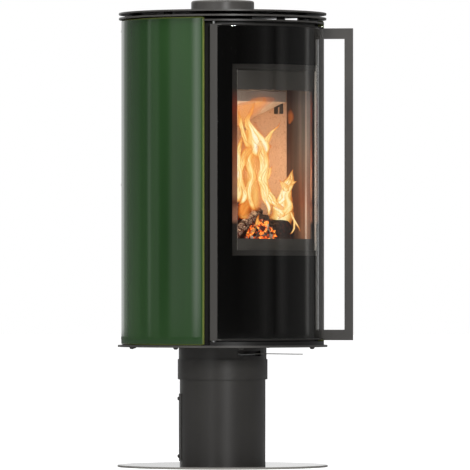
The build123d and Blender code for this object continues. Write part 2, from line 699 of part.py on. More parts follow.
def rear_panel_screws():
    low, high = BACK_LOW + BACK_SCREW_FOOT, CERAMIC_TOP - BACK_SCREW_HEAD
    return outward_heads(BACK_RADIUS, (BACK_SCREW_ANGLE, -BACK_SCREW_ANGLE), (low, (low + high) / 2, high))


# ---------------------------------------------------------------- inside the firebox

def shell_sheet(low, high):
    """A level sheet that fills the firebox shell from wall to wall."""
    x = SHELL_INNER_HALF - SHEET_GAP
    sheet = block((-x, x), (-FRAME_INNER, SHELL_INNER_BACK - SHEET_GAP), (low, high))
    return sheet & disc(FRAME_INNER - SEAT_GAP, low, high)


def around_grate(growth, low, high):
    """The grate's outline, grown on every side."""
    x = GRATE_WIDTH / 2 + growth
    y = GRATE_DEPTH / 2 + growth
    return block((-x, x), (GRATE_CENTRE_Y - y, GRATE_CENTRE_Y + y), (low, high))


def firebox_floor():
    low = FLOOR_STEEL_TOP - SHELL_WALL
    opening = around_grate(-GRATE_LEDGE, low - CUT, FLOOR_STEEL_TOP + CUT)
    return shell_sheet(low, FLOOR_STEEL_TOP) - opening


def ash_shelf():
    low = ASH_SHELF_TOP - PLATE
    x = AIR_HOLE_WIDTH / 2
    middle = SHELL_INNER_BACK - AIR_HOLE_SETBACK
    y = (middle - AIR_HOLE_DEPTH / 2, middle + AIR_HOLE_DEPTH / 2)
    return shell_sheet(low, ASH_SHELF_TOP) - block((-x, x), y, (low - CUT, ASH_SHELF_TOP + CUT))


def floor_bricks():
    x = MOUTH_HALF_WIDTH - SHEET_GAP
    back = SHELL_INNER_BACK - BRICK - 2 * SHEET_GAP
    grate_x = GRATE_WIDTH / 2 + GRATE_GAP
    grate_front = GRATE_CENTRE_Y - GRATE_DEPTH / 2 - GRATE_GAP
    grate_back = GRATE_CENTRE_Y + GRATE_DEPTH / 2 + GRATE_GAP
    z = (FLOOR_STEEL_TOP, FLOOR_BRICK_TOP)
    side = block((grate_x, x), (grate_front, grate_back), z)
    rear = block((-x, x), (grate_back + SHEET_GAP, back), z)
    front = block((-x, x), (-FRAME_INNER, grate_front - SHEET_GAP), z)
    front = front & disc(FRAME_INNER - SEAT_GAP, *z)
    return together(side, mirrored(side), rear, front)


def side_brick(low, high):
    return block(
        (MOUTH_HALF_WIDTH, MOUTH_HALF_WIDTH + BRICK), (BRICK_FRONT, SHELL_INNER_BACK - SHEET_GAP), (low, high)
    )


def back_brick():
    x = MOUTH_HALF_WIDTH - SHEET_GAP
    back = SHELL_INNER_BACK - SHEET_GAP
    return block((-x, x), (back - BRICK, back), (FLOOR_STEEL_TOP, baffle_underside(back) - SEAT_GAP))


def baffle_underside(y):
    """Height of the sloping baffle's lower face."""
    return MOUTH_HIGH - BAFFLE_DROP - (y - BAFFLE_FRONT_Y) * BAFFLE_RISE


def baffle_plate():
    back = SHELL_INNER_BACK - SHEET_GAP
    lower = (baffle_underside(BAFFLE_FRONT_Y), baffle_underside(back))
    outline = Polyline(
        (BAFFLE_FRONT_Y, lower[0]),
        (back, lower[1]),
        (back, lower[1] + BAFFLE_THICKNESS),
        (BAFFLE_FRONT_Y, lower[0] + BAFFLE_THICKNESS),
        close=True,
    )
    return extrude(Plane.YZ * make_face(outline), MOUTH_HALF_WIDTH - 2 * SHEET_GAP, both=True)


def baffle_brackets():
    """Plates with two tabs, cut along the baffle's slope so that it lies flat on them."""
    outer = MOUTH_HALF_WIDTH - SHEET_GAP
    low = baffle_underside(BRACKET_BACK_Y) - BRACKET_TAB_HEIGHT
    front, back = BRACKET_FRONT_Y, BRACKET_BACK_Y
    slot = (front + BRACKET_TAB_DEPTH, back - BRACKET_TAB_DEPTH)
    outline = Polyline(
        (front, low),
        (slot[0], low),
        (slot[0], baffle_underside(slot[0]) - BRACKET_STRIP),
        (slot[1], baffle_underside(slot[1]) - BRACKET_STRIP),
        (slot[1], low),
        (back, low),
        (back, baffle_underside(back) - SEAT_GAP),
        (front, baffle_underside(front) - SEAT_GAP),
        close=True,
    )
    bracket = Pos(outer - BRACKET_PLATE, 0, 0) * extrude(Plane.YZ * make_face(outline), BRACKET_PLATE)
    return together(bracket, mirrored(bracket))


def firebox_jambs():
    z = (FLOOR_STEEL_TOP, SIDE_BRICK_TOP)
    inner = MOUTH_HALF_WIDTH
    back = BRICK_FRONT - SHEET_GAP
    web = block((inner, inner + PLATE), (-FRAME_INNER, back), z)
    turn = block((inner, SHELL_INNER_HALF - SHEET_GAP), (back - PLATE, back), z)
    jamb = (web + turn) & disc(FRAME_INNER - SEAT_GAP, *z)
    return together(jamb, mirrored(jamb))


def grate():
    body = around_grate(0, FLOOR_STEEL_TOP, FLOOR_STEEL_TOP + GRATE_THICKNESS)
    pitch = (GRATE_WIDTH - 2 * GRATE_RIM - GRATE_SLOT_WIDTH) / (GRATE_SLOTS - 1)
    half = (GRATE_DEPTH - 2 * GRATE_RIM - GRATE_RIB) / 2
    for step in range(GRATE_SLOTS):
        x = (step - (GRATE_SLOTS - 1) / 2) * pitch
        for side in (-1, 1):
            y = GRATE_CENTRE_Y + side * (GRATE_RIB + half) / 2
            body -= Pos(x, y, FLOOR_STEEL_TOP) * Box(GRATE_SLOT_WIDTH, half, 4 * GRATE_THICKNESS)
    return body


def ash_pan():
    low = ASH_SHELF_TOP
    x = (-ASH_PAN_HALF_WIDTH, ASH_PAN_HALF_WIDTH)
    high = low + ASH_PAN_HEIGHT
    y = (ASH_PAN_FRONT_Y, ASH_PAN_FRONT_Y + ASH_PAN_DEPTH)
    outer = block(x, y, (low, high))
    inner = block(
        (x[0] + ASH_PAN_WALL, x[1] - ASH_PAN_WALL),
        (y[0] + ASH_PAN_WALL, y[1] - ASH_PAN_WALL),
        (low + ASH_PAN_WALL, high + CUT),
    )
    grip_x = (-ASH_PAN_GRIP_HALF_WIDTH, ASH_PAN_GRIP_HALF_WIDTH)
    grip = block(grip_x, (y[0] - ASH_PAN_GRIP, y[0]), (high - ASH_PAN_WALL, high))
    return outer - inner + grip


def log(start, end, radius):
    """One round log between two points."""
    run = Vector(*end) - Vector(*start)
    middle = (Vector(*end) + Vector(*start)) / 2
    return facing(middle, run) * Cylinder(radius, run.length)


def log_end(side, place, rise):
    """The end of a log, measured from the brick on one side and up from the floor bricks."""
    return side * (MOUTH_HALF_WIDTH - place[0]), place[1], FLOOR_BRICK_TOP + rise


def firewood():
    """Two logs on the floor bricks, a third across them, and a thin billet that leans on the right one."""
    logs = []
    for side, radius, ends in zip((-1, 1), LOWER_LOG_RADII, LOWER_LOG_ENDS):
        start, end = [log_end(side, place, radius + LOWER_LOG_GAP) for place in ends]
        logs.append(log(start, end, radius))
    left = log_end(-1, TOP_LOG_LEFT[:2], TOP_LOG_LEFT[2])
    right = log_end(1, TOP_LOG_RIGHT[:2], TOP_LOG_RIGHT[2])
    foot = log_end(1, BILLET_FOOT[:2], BILLET_FOOT[2])
    head = log_end(1, BILLET_HEAD[:2], BILLET_HEAD[2])
    billet = log(foot, head, BILLET_RADIUS)
    return together(*logs, log(left, right, TOP_LOG_RADIUS), billet)


# ---------------------------------------------------------------- top

def vent_ring():
    return round_wall(TOP_RADIUS - VENT_RING_WIDTH, TOP_RADIUS, VENT_RING_LOW, VENT_RING_TOP)


def top_plate():
    return disc(TOP_RADIUS, TOP_LOW, TOP_HIGH) - disc(FLUE_BORE, TOP_LOW - CUT, TOP_HIGH + CUT)


def top_spacers():
    """Hexagon standoffs under and over the vent ring."""
    standoff = extrude(RegularPolygon(SPACER_RADIUS, 6), VENT_GAP)
    return together(*[
        Pos(at(SPACER_CIRCLE, angle, low)) * Rot(0, 0, angle) * standoff
        for angle in SPACER_ANGLES for low in (UPPER_FRAME_TOP, VENT_RING_TOP)
    ])


def flue_pipe():
    outer = FLUE_BORE - 2 * RUNNING_GAP
    return round_wall(outer - FLUE_PIPE_WALL, outer, SHELL_TOP - SHELL_WALL, FLUE_TOP - FLUE_PIPE_DROP)


def flue_collar():
    """A turned collar whose outer rim is broken by two chamfers, a wide one and a small one."""
    slope = FLUE_ROUNDING * FLUE_ROUNDING_SHARE
    return turned([
        (FLUE_BORE, TOP_HIGH),
        (FLUE_RADIUS, TOP_HIGH),
        (FLUE_RADIUS, FLUE_TOP - FLUE_ROUNDING),
        (FLUE_RADIUS - slope, FLUE_TOP - slope),
        (FLUE_RADIUS - FLUE_ROUNDING, FLUE_TOP),
        (FLUE_BORE, FLUE_TOP),
    ])


# ---------------------------------------------------------------- door

def door_loop(inner, outer, low, high, half_angle, width):
    """A closed band that follows the edge of a curved rectangle."""
    side = degrees(width / outer)
    band = round_wall(inner, outer, low, high, -half_angle, half_angle)
    gap = round_wall(
        inner - CUT, outer + CUT, low + width, high - width, -half_angle + side, half_angle - side
    )
    return band - gap


def handle_screw_heights():
    return (HANDLE_LOW + HANDLE_ARM_HEIGHT / 2, HANDLE_HIGH - HANDLE_ARM_HEIGHT / 2)


def handle_bores(radius, inner, outer):
    """Rods along the handle screws, pointing away from the stove's axis."""
    return together(*[
        facing(at((inner + outer) / 2, HANDLE_ANGLE, height), at(1, HANDLE_ANGLE))
        * Cylinder(radius, outer - inner)
        for height in handle_screw_heights()
    ])


def door_frame():
    edge = DOOR_SKIN_HALF_ANGLE
    strip = round_wall(DOOR_STRIP_INNER, BODY_RADIUS, DOOR_LOW, DOOR_HIGH, edge, DOOR_HALF_ANGLE)
    skin = round_wall(DOOR_SKIN_INNER, DOOR_SKIN_OUTER, DOOR_LOW, DOOR_HIGH, -edge, edge)
    window = round_wall(
        DOOR_SKIN_INNER - CUT, DOOR_SKIN_OUTER + CUT,
        MOUTH_LOW - DOOR_WINDOW_SILL, MOUTH_HIGH + DOOR_WINDOW_HEAD,
        -DOOR_WINDOW_HALF_ANGLE, DOOR_WINDOW_HALF_ANGLE,
    )
    lips = [
        round_wall(DOOR_SKIN_INNER, BODY_RADIUS, low, low + DOOR_LIP, -edge, edge)
        for low in (DOOR_LOW, DOOR_HIGH - DOOR_LIP)
    ]
    frame = skin - window + lips[0] + lips[1] + strip + mirrored(strip)
    for low, high in bush_heights():
        frame -= rod(HINGE, BUSH_RADIUS + WELD_GAP, low - CUT, high + CUT)
    return frame - handle_bores(HANDLE_SCREW_RADIUS + RUNNING_GAP, DOOR_STRIP_INNER - CUT, BODY_RADIUS + CUT)


def door_glass():
    return round_wall(GLASS_INNER, BODY_RADIUS, GLASS_LOW, GLASS_HIGH, -GLASS_HALF_ANGLE, GLASS_HALF_ANGLE)


def glass_gasket():
    return door_loop(DOOR_SKIN_OUTER, GLASS_INNER, GLASS_LOW, GLASS_HIGH, GLASS_HALF_ANGLE, GASKET_WIDTH)


def door_seal():
    return door_loop(
        FRAME_RADIUS + SEAT_GAP, DOOR_SKIN_INNER, DOOR_LOW + SEAL_INSET, DOOR_HIGH - SEAL_INSET,
        SEAL_HALF_ANGLE, SEAL_WIDTH,
    )


def bush_heights():
    return ((DOOR_LOW, DOOR_LOW + BUSH_LENGTH), (DOOR_HIGH - BUSH_LENGTH, DOOR_HIGH))


def hinge_bushes():
    return together(*[
        rod(HINGE, BUSH_RADIUS, low, high) - rod(HINGE, HINGE_PIN_RADIUS + RUNNING_GAP, low - CUT, high + CUT)
        for low, high in bush_heights()
    ])


def hinge_pin_lower():
    pin = rod(HINGE, HINGE_PIN_RADIUS, BOTTOM_TOP, DOOR_LOW + BUSH_LENGTH - HINGE_PIN_SETBACK)
    return pin + rod(HINGE, THRUST_COLLAR_RADIUS, RAIL_HIGH, DOOR_LOW - SEAT_GAP)


def hinge_pin_upper():
    low = DOOR_HIGH - BUSH_LENGTH + HINGE_PIN_SETBACK
    return rod(HINGE, HINGE_PIN_RADIUS, low, UPPER_FRAME_TOP)


def door_handle():
    bar = radial_bar(HANDLE_ANGLE, HANDLE_INNER, HANDLE_OUTER, HANDLE_WIDTH, HANDLE_LOW, HANDLE_HIGH)
    arms = [
        radial_bar(
            HANDLE_ANGLE, BODY_RADIUS - CUT, HANDLE_INNER + CUT, HANDLE_WIDTH,
            height - HANDLE_ARM_HEIGHT / 2, height + HANDLE_ARM_HEIGHT / 2,
        )
        for height in handle_screw_heights()
    ]
    handle = bar + arms[0] + arms[1] - disc(BODY_RADIUS, HANDLE_LOW - CUT, HANDLE_HIGH + CUT)
    bore_end = BODY_RADIUS + HANDLE_SCREW_BITE + CUT
    return handle - handle_bores(HANDLE_SCREW_RADIUS + RUNNING_GAP, BODY_RADIUS - CUT, bore_end)


def handle_screws():
    seat = DOOR_STRIP_INNER - RUNNING_GAP
    shanks = handle_bores(HANDLE_SCREW_RADIUS, seat, BODY_RADIUS + HANDLE_SCREW_BITE)
    heads = handle_bores(HANDLE_SCREW_HEAD_RADIUS, seat - HANDLE_SCREW_HEAD, seat)
    return together(shanks + heads)


# ---------------------------------------------------------------- latch

def latch_blade():
    """A blade curved about the hinge axis, so that it keeps its gap to the roller as the door opens."""
    height = (LATCH_HEIGHT - BLADE_HEIGHT / 2, LATCH_HEIGHT + BLADE_HEIGHT / 2)
    ring = rod(HINGE, BLADE_REACH, *height) - rod(HINGE, BLADE_REACH - BLADE_WALL, *height)
    tip = about_hinge(BLADE_REACH, BLADE_TIP_ANGLE)
    zone = block((0, tip.X + BLADE_HEIGHT), (-BODY_RADIUS, tip.Y), height)
    return ring & zone & disc(DOOR_STRIP_INNER, *height)


def latch_lugs():
    low = LATCH_HEIGHT - ROLLER_HALF_HEIGHT - SEAT_GAP
    high = LATCH_HEIGHT + ROLLER_HALF_HEIGHT + SEAT_GAP
    return ((low - LATCH_LUG, low), (high, high + LATCH_LUG))


def latch_bracket():
    """Two lugs on a foot that is welded to the shell, behind the blade's tip."""
    half = LATCH_LUG_WIDTH / 2
    y = (ROLLER.Y - half, ROLLER.Y + half)
    tip = about_hinge(BLADE_REACH, BLADE_TIP_ANGLE)
    foot_y = (tip.Y + LATCH_FOOT_GAP, tip.Y + LATCH_FOOT_GAP + LATCH_LUG_WIDTH)
    foot_x = (SHELL_HALF_WIDTH, SHELL_HALF_WIDTH + LATCH_LUG)
    lower, upper = latch_lugs()
    bracket = block(foot_x, foot_y, (lower[0], upper[1]))
    for low, high in (lower, upper):
        bracket += block(foot_x, (y[0], foot_y[1]), (low, high))
        bracket += block((SHELL_HALF_WIDTH, ROLLER.X), y, (low, high))
        bracket += rod(ROLLER, half, low, high)
    return bracket - rod(ROLLER, ROLLER_PIN_RADIUS + WELD_GAP, lower[0] - CUT, upper[1] + CUT)


def latch_pin():
    lugs = latch_lugs()
    return rod(ROLLER, ROLLER_PIN_RADIUS, lugs[0][0], lugs[1][1])


def latch_roller():
    low, high = LATCH_HEIGHT - ROLLER_HALF_HEIGHT, LATCH_HEIGHT + ROLLER_HALF_HEIGHT
    bore = rod(ROLLER, ROLLER_PIN_RADIUS + RUNNING_GAP, low - CUT, high + CUT)
    return rod(ROLLER, ROLLER_RADIUS, low, high) - bore


# ---------------------------------------------------------------- writing the nodes

PANEL = ceramic_panel()
CASING = inner_casing()

NODES = {
    "base_plate": base_plate(),
    "pedestal_tube": pedestal_tube(),
    "pedestal_rear_cover": pedestal_rear_cover(),
    "rear_cover_screws": rear_cover_screws(),
    "swivel_lower_ring": swivel_lower_ring(),
    "swivel_slide_ring": swivel_slide_ring(),
    "swivel_upper_ring": swivel_upper_ring(),
    "neck_tube": neck_tube(),
    "swivel_collar": swivel_collar(),
    "air_chamber": air_chamber(),
    "damper_pivot": damper_pivot(),
    "air_lever": air_lever(),
    "air_spigot": air_spigot(),
    "air_spigot_spacers": air_spigot_spacers(),
    "bottom_plate": bottom_plate(),
    "bottom_plate_screws": bottom_plate_screws(),
    "firebox_shell": firebox_shell(),
    "front_frame": front_frame(),
    "frame_pillars": frame_pillars(),
    "lower_front_rail": lower_front_rail(),
    "upper_frame": upper_frame(),
    "inner_casing_right": CASING,
    "inner_casing_left": mirrored(CASING),
    "ceramic_panel_right": PANEL,
    "ceramic_panel_left": mirrored(PANEL),
    "felt_strips": felt_strips(),
    "rear_panel": rear_panel(),
    "rear_panel_screws": rear_panel_screws(),
    "firebox_floor": firebox_floor(),
    "ash_shelf": ash_shelf(),
    "ash_pan": ash_pan(),
    "floor_bricks": floor_bricks(),
    "side_bricks_lower": together(
        side_brick(FLOOR_STEEL_TOP, SIDE_BRICK_JOINT), mirrored(side_brick(FLOOR_STEEL_TOP, SIDE_BRICK_JOINT))
    ),
    "side_bricks_upper": together(
        side_brick(SIDE_BRICK_JOINT, SIDE_BRICK_TOP), mirrored(side_brick(SIDE_BRICK_JOINT, SIDE_BRICK_TOP))
    ),
    "back_brick": back_brick(),
    "baffle_plate": baffle_plate(),
    "baffle_brackets": baffle_brackets(),
    "firebox_jambs": firebox_jambs(),
    "grate": grate(),
    "firewood": firewood(),
    "vent_ring": vent_ring(),
    "top_plate": top_plate(),
    "top_spacers": top_spacers(),
    "flue_pipe": flue_pipe(),
    "flue_collar": flue_collar(),
    "door_frame": door_frame(),
    "door_glass": door_glass(),
    "glass_gasket": glass_gasket(),
    "door_seal": door_seal(),
    "hinge_bushes": hinge_bushes(),
    "hinge_pin_lower": hinge_pin_lower(),
    "hinge_pin_upper": hinge_pin_upper(),
    "door_handle": door_handle(),
    "handle_screws": handle_screws(),
    "latch_blade": latch_blade(),
    "latch_bracket": latch_bracket(),
    "latch_pin": latch_pin(),
    "latch_roller": latch_roller(),
}

for name, shape in NODES.items():
    export_step(shape, f"parts/{name}.step")
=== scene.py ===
from functools import partial
from math import copysign, cos, degrees, hypot, pi, radians, sin, tau

import bmesh
import bpy
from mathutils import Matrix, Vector, noise


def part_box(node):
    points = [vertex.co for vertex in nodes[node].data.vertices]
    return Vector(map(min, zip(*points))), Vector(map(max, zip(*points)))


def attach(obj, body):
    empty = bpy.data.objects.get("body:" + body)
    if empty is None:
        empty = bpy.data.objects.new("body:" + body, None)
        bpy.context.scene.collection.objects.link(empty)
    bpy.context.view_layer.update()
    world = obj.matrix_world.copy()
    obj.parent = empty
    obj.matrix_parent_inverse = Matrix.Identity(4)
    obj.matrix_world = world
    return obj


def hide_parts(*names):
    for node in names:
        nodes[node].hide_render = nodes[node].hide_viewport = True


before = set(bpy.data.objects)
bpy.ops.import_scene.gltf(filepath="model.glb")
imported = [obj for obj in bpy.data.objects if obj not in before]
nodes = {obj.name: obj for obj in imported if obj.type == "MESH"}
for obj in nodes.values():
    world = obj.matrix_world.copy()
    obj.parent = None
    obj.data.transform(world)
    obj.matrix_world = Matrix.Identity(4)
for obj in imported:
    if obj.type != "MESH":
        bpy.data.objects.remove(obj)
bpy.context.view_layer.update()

# A round wood stove on a swivel pedestal: two tall glazed panels, a curved glass door and a burning fire.
# Sizes are in millimetres unless a name says otherwise; angles are degrees from the front, towards +X.
MM = 0.001


# ---- sizes

def box_mm(node):
    low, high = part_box(node)
    return low / MM, high / MM


GLASS_LOW_CORNER, GLASS_HIGH_CORNER = box_mm("door_glass")
BODY_RADIUS = -GLASS_LOW_CORNER.y
GLASS_THICKNESS = 4.0
GLASS_INNER = BODY_RADIUS - GLASS_THICKNESS
GLASS_HALF_ANGLE = 42.9
GLASS_EDGE = 0.8

PRINT_THICKNESS = 0.2
PRINT_GAP = 0.1
COAT_GAP, COAT_THICKNESS, COAT_EDGE = 0.05, 0.1, 0.03
COAT_OVERLAP = 2.0  # how far the coat runs behind the print
WINDOW_HALF_ANGLE = 34.5
WINDOW_LOW, WINDOW_HIGH = 501.0, 951.0

CERAMIC_WALL = 14.0
CERAMIC_START, CERAMIC_END = 50.7, 128.5
CERAMIC_ROUNDING = 4.0
EDGE_THINNING = 3.2  # how far in from an edge the glaze is thin and carries a painted highlight
RIPPLE_DEPTH = 0.12  # the glaze's slow waves
RIPPLE_ANGLE, RIPPLE_RISE = 16.0, 520.0

# Rings up a panel, as shares of its height; the pane's lie near its ends, which keeps its shading flat.
CERAMIC_RISES = [step / 48 for step in range(1, 48)]
PANE_RISES = (0.002, 0.01, 0.25, 0.5, 0.75, 0.99, 0.998)

FELT_ANGLES = (58.0, 88.0, 118.0)
FELT_ARC, FELT_THICKNESS, FELT_ROUNDING = 3.0, 1.5, 0.5

SEAL_HALF_ANGLE = 40.5
SEAL_WIDTH = 10.0
SEAL_CLEARANCE = 0.3  # from the front frame
GASKET_WIDTH = 8.0
PLAIT_PITCH = 9.0
ROPE_PLAIT, TAPE_PLAIT = 0.10, 0.03  # how deep the plait cuts in, as a share of the section

# ---- the photograph's view

VIEW_AZIMUTH = -40.0
CAMERA_DISTANCE = 14.85  # metres, as the next three are
CAMERA_HEIGHT = 0.430
AIM_ACROSS, AIM_HEIGHT = 0.0295, 0.5512
LENS, SENSOR = 478.0, 36.0

BACK = Vector((sin(radians(VIEW_AZIMUTH)), -cos(radians(VIEW_AZIMUTH)), 0.0))
ACROSS = Vector((cos(radians(VIEW_AZIMUTH)), sin(radians(VIEW_AZIMUTH)), 0.0))
UP = Vector((0.0, 0.0, 1.0))


def spot(across, depth, height):
    """A point in metres, from its millimetres to the right, away from the camera and up."""
    return (ACROSS * across - BACK * depth + UP * height) * MM


def at(radius, angle, height):
    """A point in metres on the stove's own circles."""
    turn = radians(angle)
    return Vector((radius * sin(turn), -radius * cos(turn), height)) * MM


# ---- materials

SHADER, END = "Principled BSDF", "Material Output"


def linear(hex_colour):
    """The scene colour of an sRGB hex value."""
    parts = [int(hex_colour[i:i + 2], 16) / 255 for i in (1, 3, 5)]
    return (*[p / 12.92 if p <= 0.04045 else ((p + 0.055) / 1.055) ** 2.4 for p in parts], 1.0)


def grey(level):
    return (level, level, level, 1.0)


def resolved(value):
    """What a socket takes: a node's first output in use, a hex value's colour, or the value as it is."""
    if isinstance(value, bpy.types.Node):
        return next(output for output in value.outputs if output.enabled)
    if isinstance(value, str) and value.startswith("#"):
        return linear(value)
    return value


def input_of(node, label):
    """One of a node's inputs in use, by its place among them or by its name."""
    in_use = [socket for socket in node.inputs if socket.enabled]
    if isinstance(label, int):
        return in_use[label]
    return next(socket for socket in in_use if socket.name == label.replace("_", " "))


def add(tree, kind, *inputs, stops=(), to=None, **named):
    """Adds a node. Its inputs, values or links, come in order or by their capitalised names, its settings by
    their small ones. A ramp's stops are hex values or levels of grey. The node feeds the material's Surface
    or an input of its Principled shader."""
    node = tree.nodes.new(kind if "Node" in kind else f"ShaderNode{kind}")
    given = dict(enumerate(inputs))
    for label, value in named.items():
        if label[0].isupper():
            given[label] = value
        else:
            setattr(node, label, value)
    for place, (position, tone) in enumerate(stops):
        elements = node.color_ramp.elements
        if place < 2:
            elements[place].position = position
        else:
            elements.new(position)
        elements[place].color = grey(tone) if isinstance(tone, float) else linear(tone)
    for label, value in given.items():
        value = resolved(value)
        if isinstance(value, bpy.types.NodeSocket):
            tree.links.new(value, input_of(node, label))
        else:
            input_of(node, label).default_value = value
    if to:
        tree.links.new(resolved(node), tree.nodes[END if to == "Surface" else SHADER].inputs[to])
    return node


def surface(name, **values):
    """A material with one Principled shader: it, what adds nodes to it, and the piece's own place.

    A texture's Scale counts its patterns in a metre, so 650 draws one about every 1.5 mm.
    """
    made = bpy.data.materials.new(name)
    made.use_nodes = True
    made.node_tree.nodes.clear()
    node = partial(add, made.node_tree)
    node("OutputMaterial")
    node("BsdfPrincipled", to="Surface", **values)
    return made, node, node("TexCoord").outputs["Object"]


def patterned(name, texture, sizes, tones, gloss=None, relief=None, drawn=None, **values):
    """A material that follows one texture: its tones, its least and greatest roughness, and its relief, as a
    depth in millimetres and a strength. drawn stretches the texture along an axis."""
    made, node, place = surface(name, **values)
    if drawn:
        place = node("Mapping", place, Scale=drawn)
    pattern = node(texture, place, **sizes)
    node("ValToRGB", pattern, stops=tones, to="Base Color")
    if gloss:
        node("MapRange", pattern, 0.0, 1.0, *gloss, to="Roughness")
    if relief:
        node("Bump", Height=pattern, Distance=relief[0] * MM, Strength=relief[1], to="Normal")
    return made


def by_height(node, height, low, high, colours, shade):
    """Colours that change with the height, made darker and lighter by shade: the jambs' film and the painted
    firelight.
    """
    rise = node("MapRange", height, low * MM, high * MM)
    stops = [((level - low) / (high - low), colour) for level, colour in colours]
    height_colours = node("ValToRGB", rise, stops=stops)
    return node("VectorMath", height_colours, shade, operation="SCALE")


def paint_tones(dark, light):
    return (0.3, dark), (0.7, light)


# One stove paint in copies: the body's and the floor plate's are painted lighter than the pedestal's, as
# painted light.
LIT_BODY_PAINT = paint_tones("#4e4c4a", "#565451")
PEDESTAL_PAINT = paint_tones("#403e3c", "#464441")
LIT_PLATE_PAINT = paint_tones("#5c5a57", "#646260")
RAIL_PAINT = paint_tones("#1a1918", "#201f1e")
CLOUD = 9.0  # the scale of the paint's cloudiness
PLATE_EDGE = 4.8, 4.95  # the heights between which the floor plate's edge becomes its top

# Painted firelight on the paint beside the window, from its foot up; None is the paint's own colour.
FIRELIGHT_LOW, FIRELIGHT_HIGH = 535.0, 905.0
FIRELIGHT_COLOURS = (
    (541.0, None), (575.0, "#2b211b"), (586.0, "#c58a70"), (610.0, "#bd8060"), (625.0, "#7c4028"),
    (648.0, "#c08a66"), (735.0, "#b0643f"), (800.0, "#743e26"), (845.0, "#8e3213"), (880.0, "#5c3228"),
    (893.0, None),
)
FIRELIGHT_OUTER, FIRELIGHT_INNER = 158, 157  # where the painted firelight begins, from the middle
CUT_EDGE_X, CUT_EDGE_DEPTH = 122.2, 192.0  # within this of the middle, and at least this far forward
CUT_EDGE_LOW, CUT_EDGE_HIGH = 514.0, 938.0

# The film on the jambs, from the hearth up: scorched brown low down, cool grey under the roof.
FILM_LOW, FILM_HIGH = 560.0, 880.0
FILM_COLOURS = (
    (560.0, "#a68165"), (630.0, "#8a5239"), (700.0, "#664b3f"), (780.0, "#6e6d6c"), (880.0, "#72777d"),
)
FILM_FRONT, FILM_BACK = -150, -104  # the film gives way to rust between these depths
BEND_Y, BEND_OUTER, BEND_INNER = -158.5, 4.0, 2.0
HIGHLIGHT_HIGH, HIGHLIGHT_LOW = 680, 600  # the bend's painted highlight is brightest under the lower height


def stove_paint(name, tones):
    """Heat-resistant stove paint, sprayed: a satin charcoal with a fine dry grain that spreads highlights."""
    made, node, place = surface(name)
    cloud = node("TexNoise", place, Scale=CLOUD)
    node("ValToRGB", cloud, stops=tones, to="Base Color")
    # grains of 0.3 mm, drawn at about 1.5 mm so that they show
    grain = node("TexNoise", place, Scale=650.0)
    node("Bump", Height=grain, Distance=0.03 * MM, Strength=0.5, to="Normal")
    node("MapRange", grain, 0.0, 1.0, 0.3, 0.4, to="Roughness")
    return made


def plate_paint():
    """The floor plate's paint, levelled while wet: its top mirrors a low light; its edge has a painted
    highlight in pale grey.
    """
    made, node, place = surface("floor_plate_paint")
    cloud = node("TexNoise", place, Scale=CLOUD)
    coat = node("ValToRGB", cloud, stops=LIT_PLATE_PAINT)
    height = node("SeparateXYZ", place).outputs[2]
    top = node("MapRange", height, PLATE_EDGE[0] * MM, PLATE_EDGE[1] * MM)
    # the edge below the top in pale grey: a painted highlight
    node("Mix", top, "#a5a29d", coat, to="Base Color", data_type="RGBA")
    node("MapRange", top, 0.0, 1.0, 0.36, 0.04, to="Roughness")
    return made


def fireside_paint(name, outer, inner, cut_edge, gloss, covered_gloss):
    """Stove paint near the fire: painted firelight up its middle, and cut_edge on the window's cut edges."""
    made, node, place = surface(name)
    x, y, z = node("SeparateXYZ", place).outputs
    aside = node("Math", x, operation="ABSOLUTE")
    covered = node("MapRange", aside, FIRELIGHT_OUTER * MM, FIRELIGHT_INNER * MM)
    patch = node("TexNoise", place, Scale=26.0, Detail=4.0)
    shade = node("MapRange", patch, 0.0, 1.0, 0.7, 1.3)
    # painted firelight up the covered middle
    colours = [(level, colour or inner) for level, colour in FIRELIGHT_COLOURS]
    heat_and_firelight = by_height(node, z, FIRELIGHT_LOW, FIRELIGHT_HIGH, colours, shade)
    painted = node("Mix", covered, outer, heat_and_firelight, data_type="RGBA")
    # the window's upright edges: bare steel on the door's sheet, near white there as a painted highlight
    bare_and_highlit = 1.0
    for value, test, limit in (
        (aside, "LESS_THAN", CUT_EDGE_X), (y, "LESS_THAN", -CUT_EDGE_DEPTH),
        (z, "GREATER_THAN", CUT_EDGE_LOW), (z, "LESS_THAN", CUT_EDGE_HIGH),
    ):
        inside = node("Math", value, limit * MM, operation=test)
        bare_and_highlit = node("Math", bare_and_highlit, inside, operation="MULTIPLY")
    node("Mix", bare_and_highlit, painted, cut_edge, to="Base Color", data_type="RGBA")
    node("MapRange", covered, 0.0, 1.0, gloss, covered_gloss, to="Roughness")
    return made


def scorched_steel():
    """Steel beside the flames: a grey film near the glass, burnt to red-brown oxide behind, streaked down."""
    made, node, place = surface("scorched_steel", Roughness=0.6)
    drawn = node("Mapping", place, Scale=(1.0, 1.0, 0.06))
    streak = node("TexNoise", drawn, Scale=60.0, Detail=3.0)
    rust = node("ValToRGB", streak, stops=((0.35, "#29110a"), (0.5, "#3d1d12"), (0.7, "#502c1e")))
    depth, height = node("SeparateXYZ", place).outputs[1:]
    shade = node("MapRange", streak, 0.35, 0.6, 0.72, 1.3)
    height_colours = by_height(node, height, FILM_LOW, FILM_HIGH, FILM_COLOURS, shade)
    behind = node("MapRange", depth, FILM_FRONT * MM, FILM_BACK * MM)
    burnt = node("Mix", behind, height_colours, rust, data_type="RGBA")
    # the bend: a painted highlight in near white
    off = node("Math", depth, BEND_Y * MM, operation="SUBTRACT")
    away = node("Math", off, operation="ABSOLUTE")
    bend = node("MapRange", away, BEND_OUTER * MM, BEND_INNER * MM)
    highlight_fade = node("MapRange", height, HIGHLIGHT_HIGH * MM, HIGHLIGHT_LOW * MM, 0.3)
    shine = node("Math", bend, highlight_fade, operation="MULTIPLY")
    node("Mix", shine, burnt, "#f0e8e0", to="Base Color", data_type="RGBA")
    return made


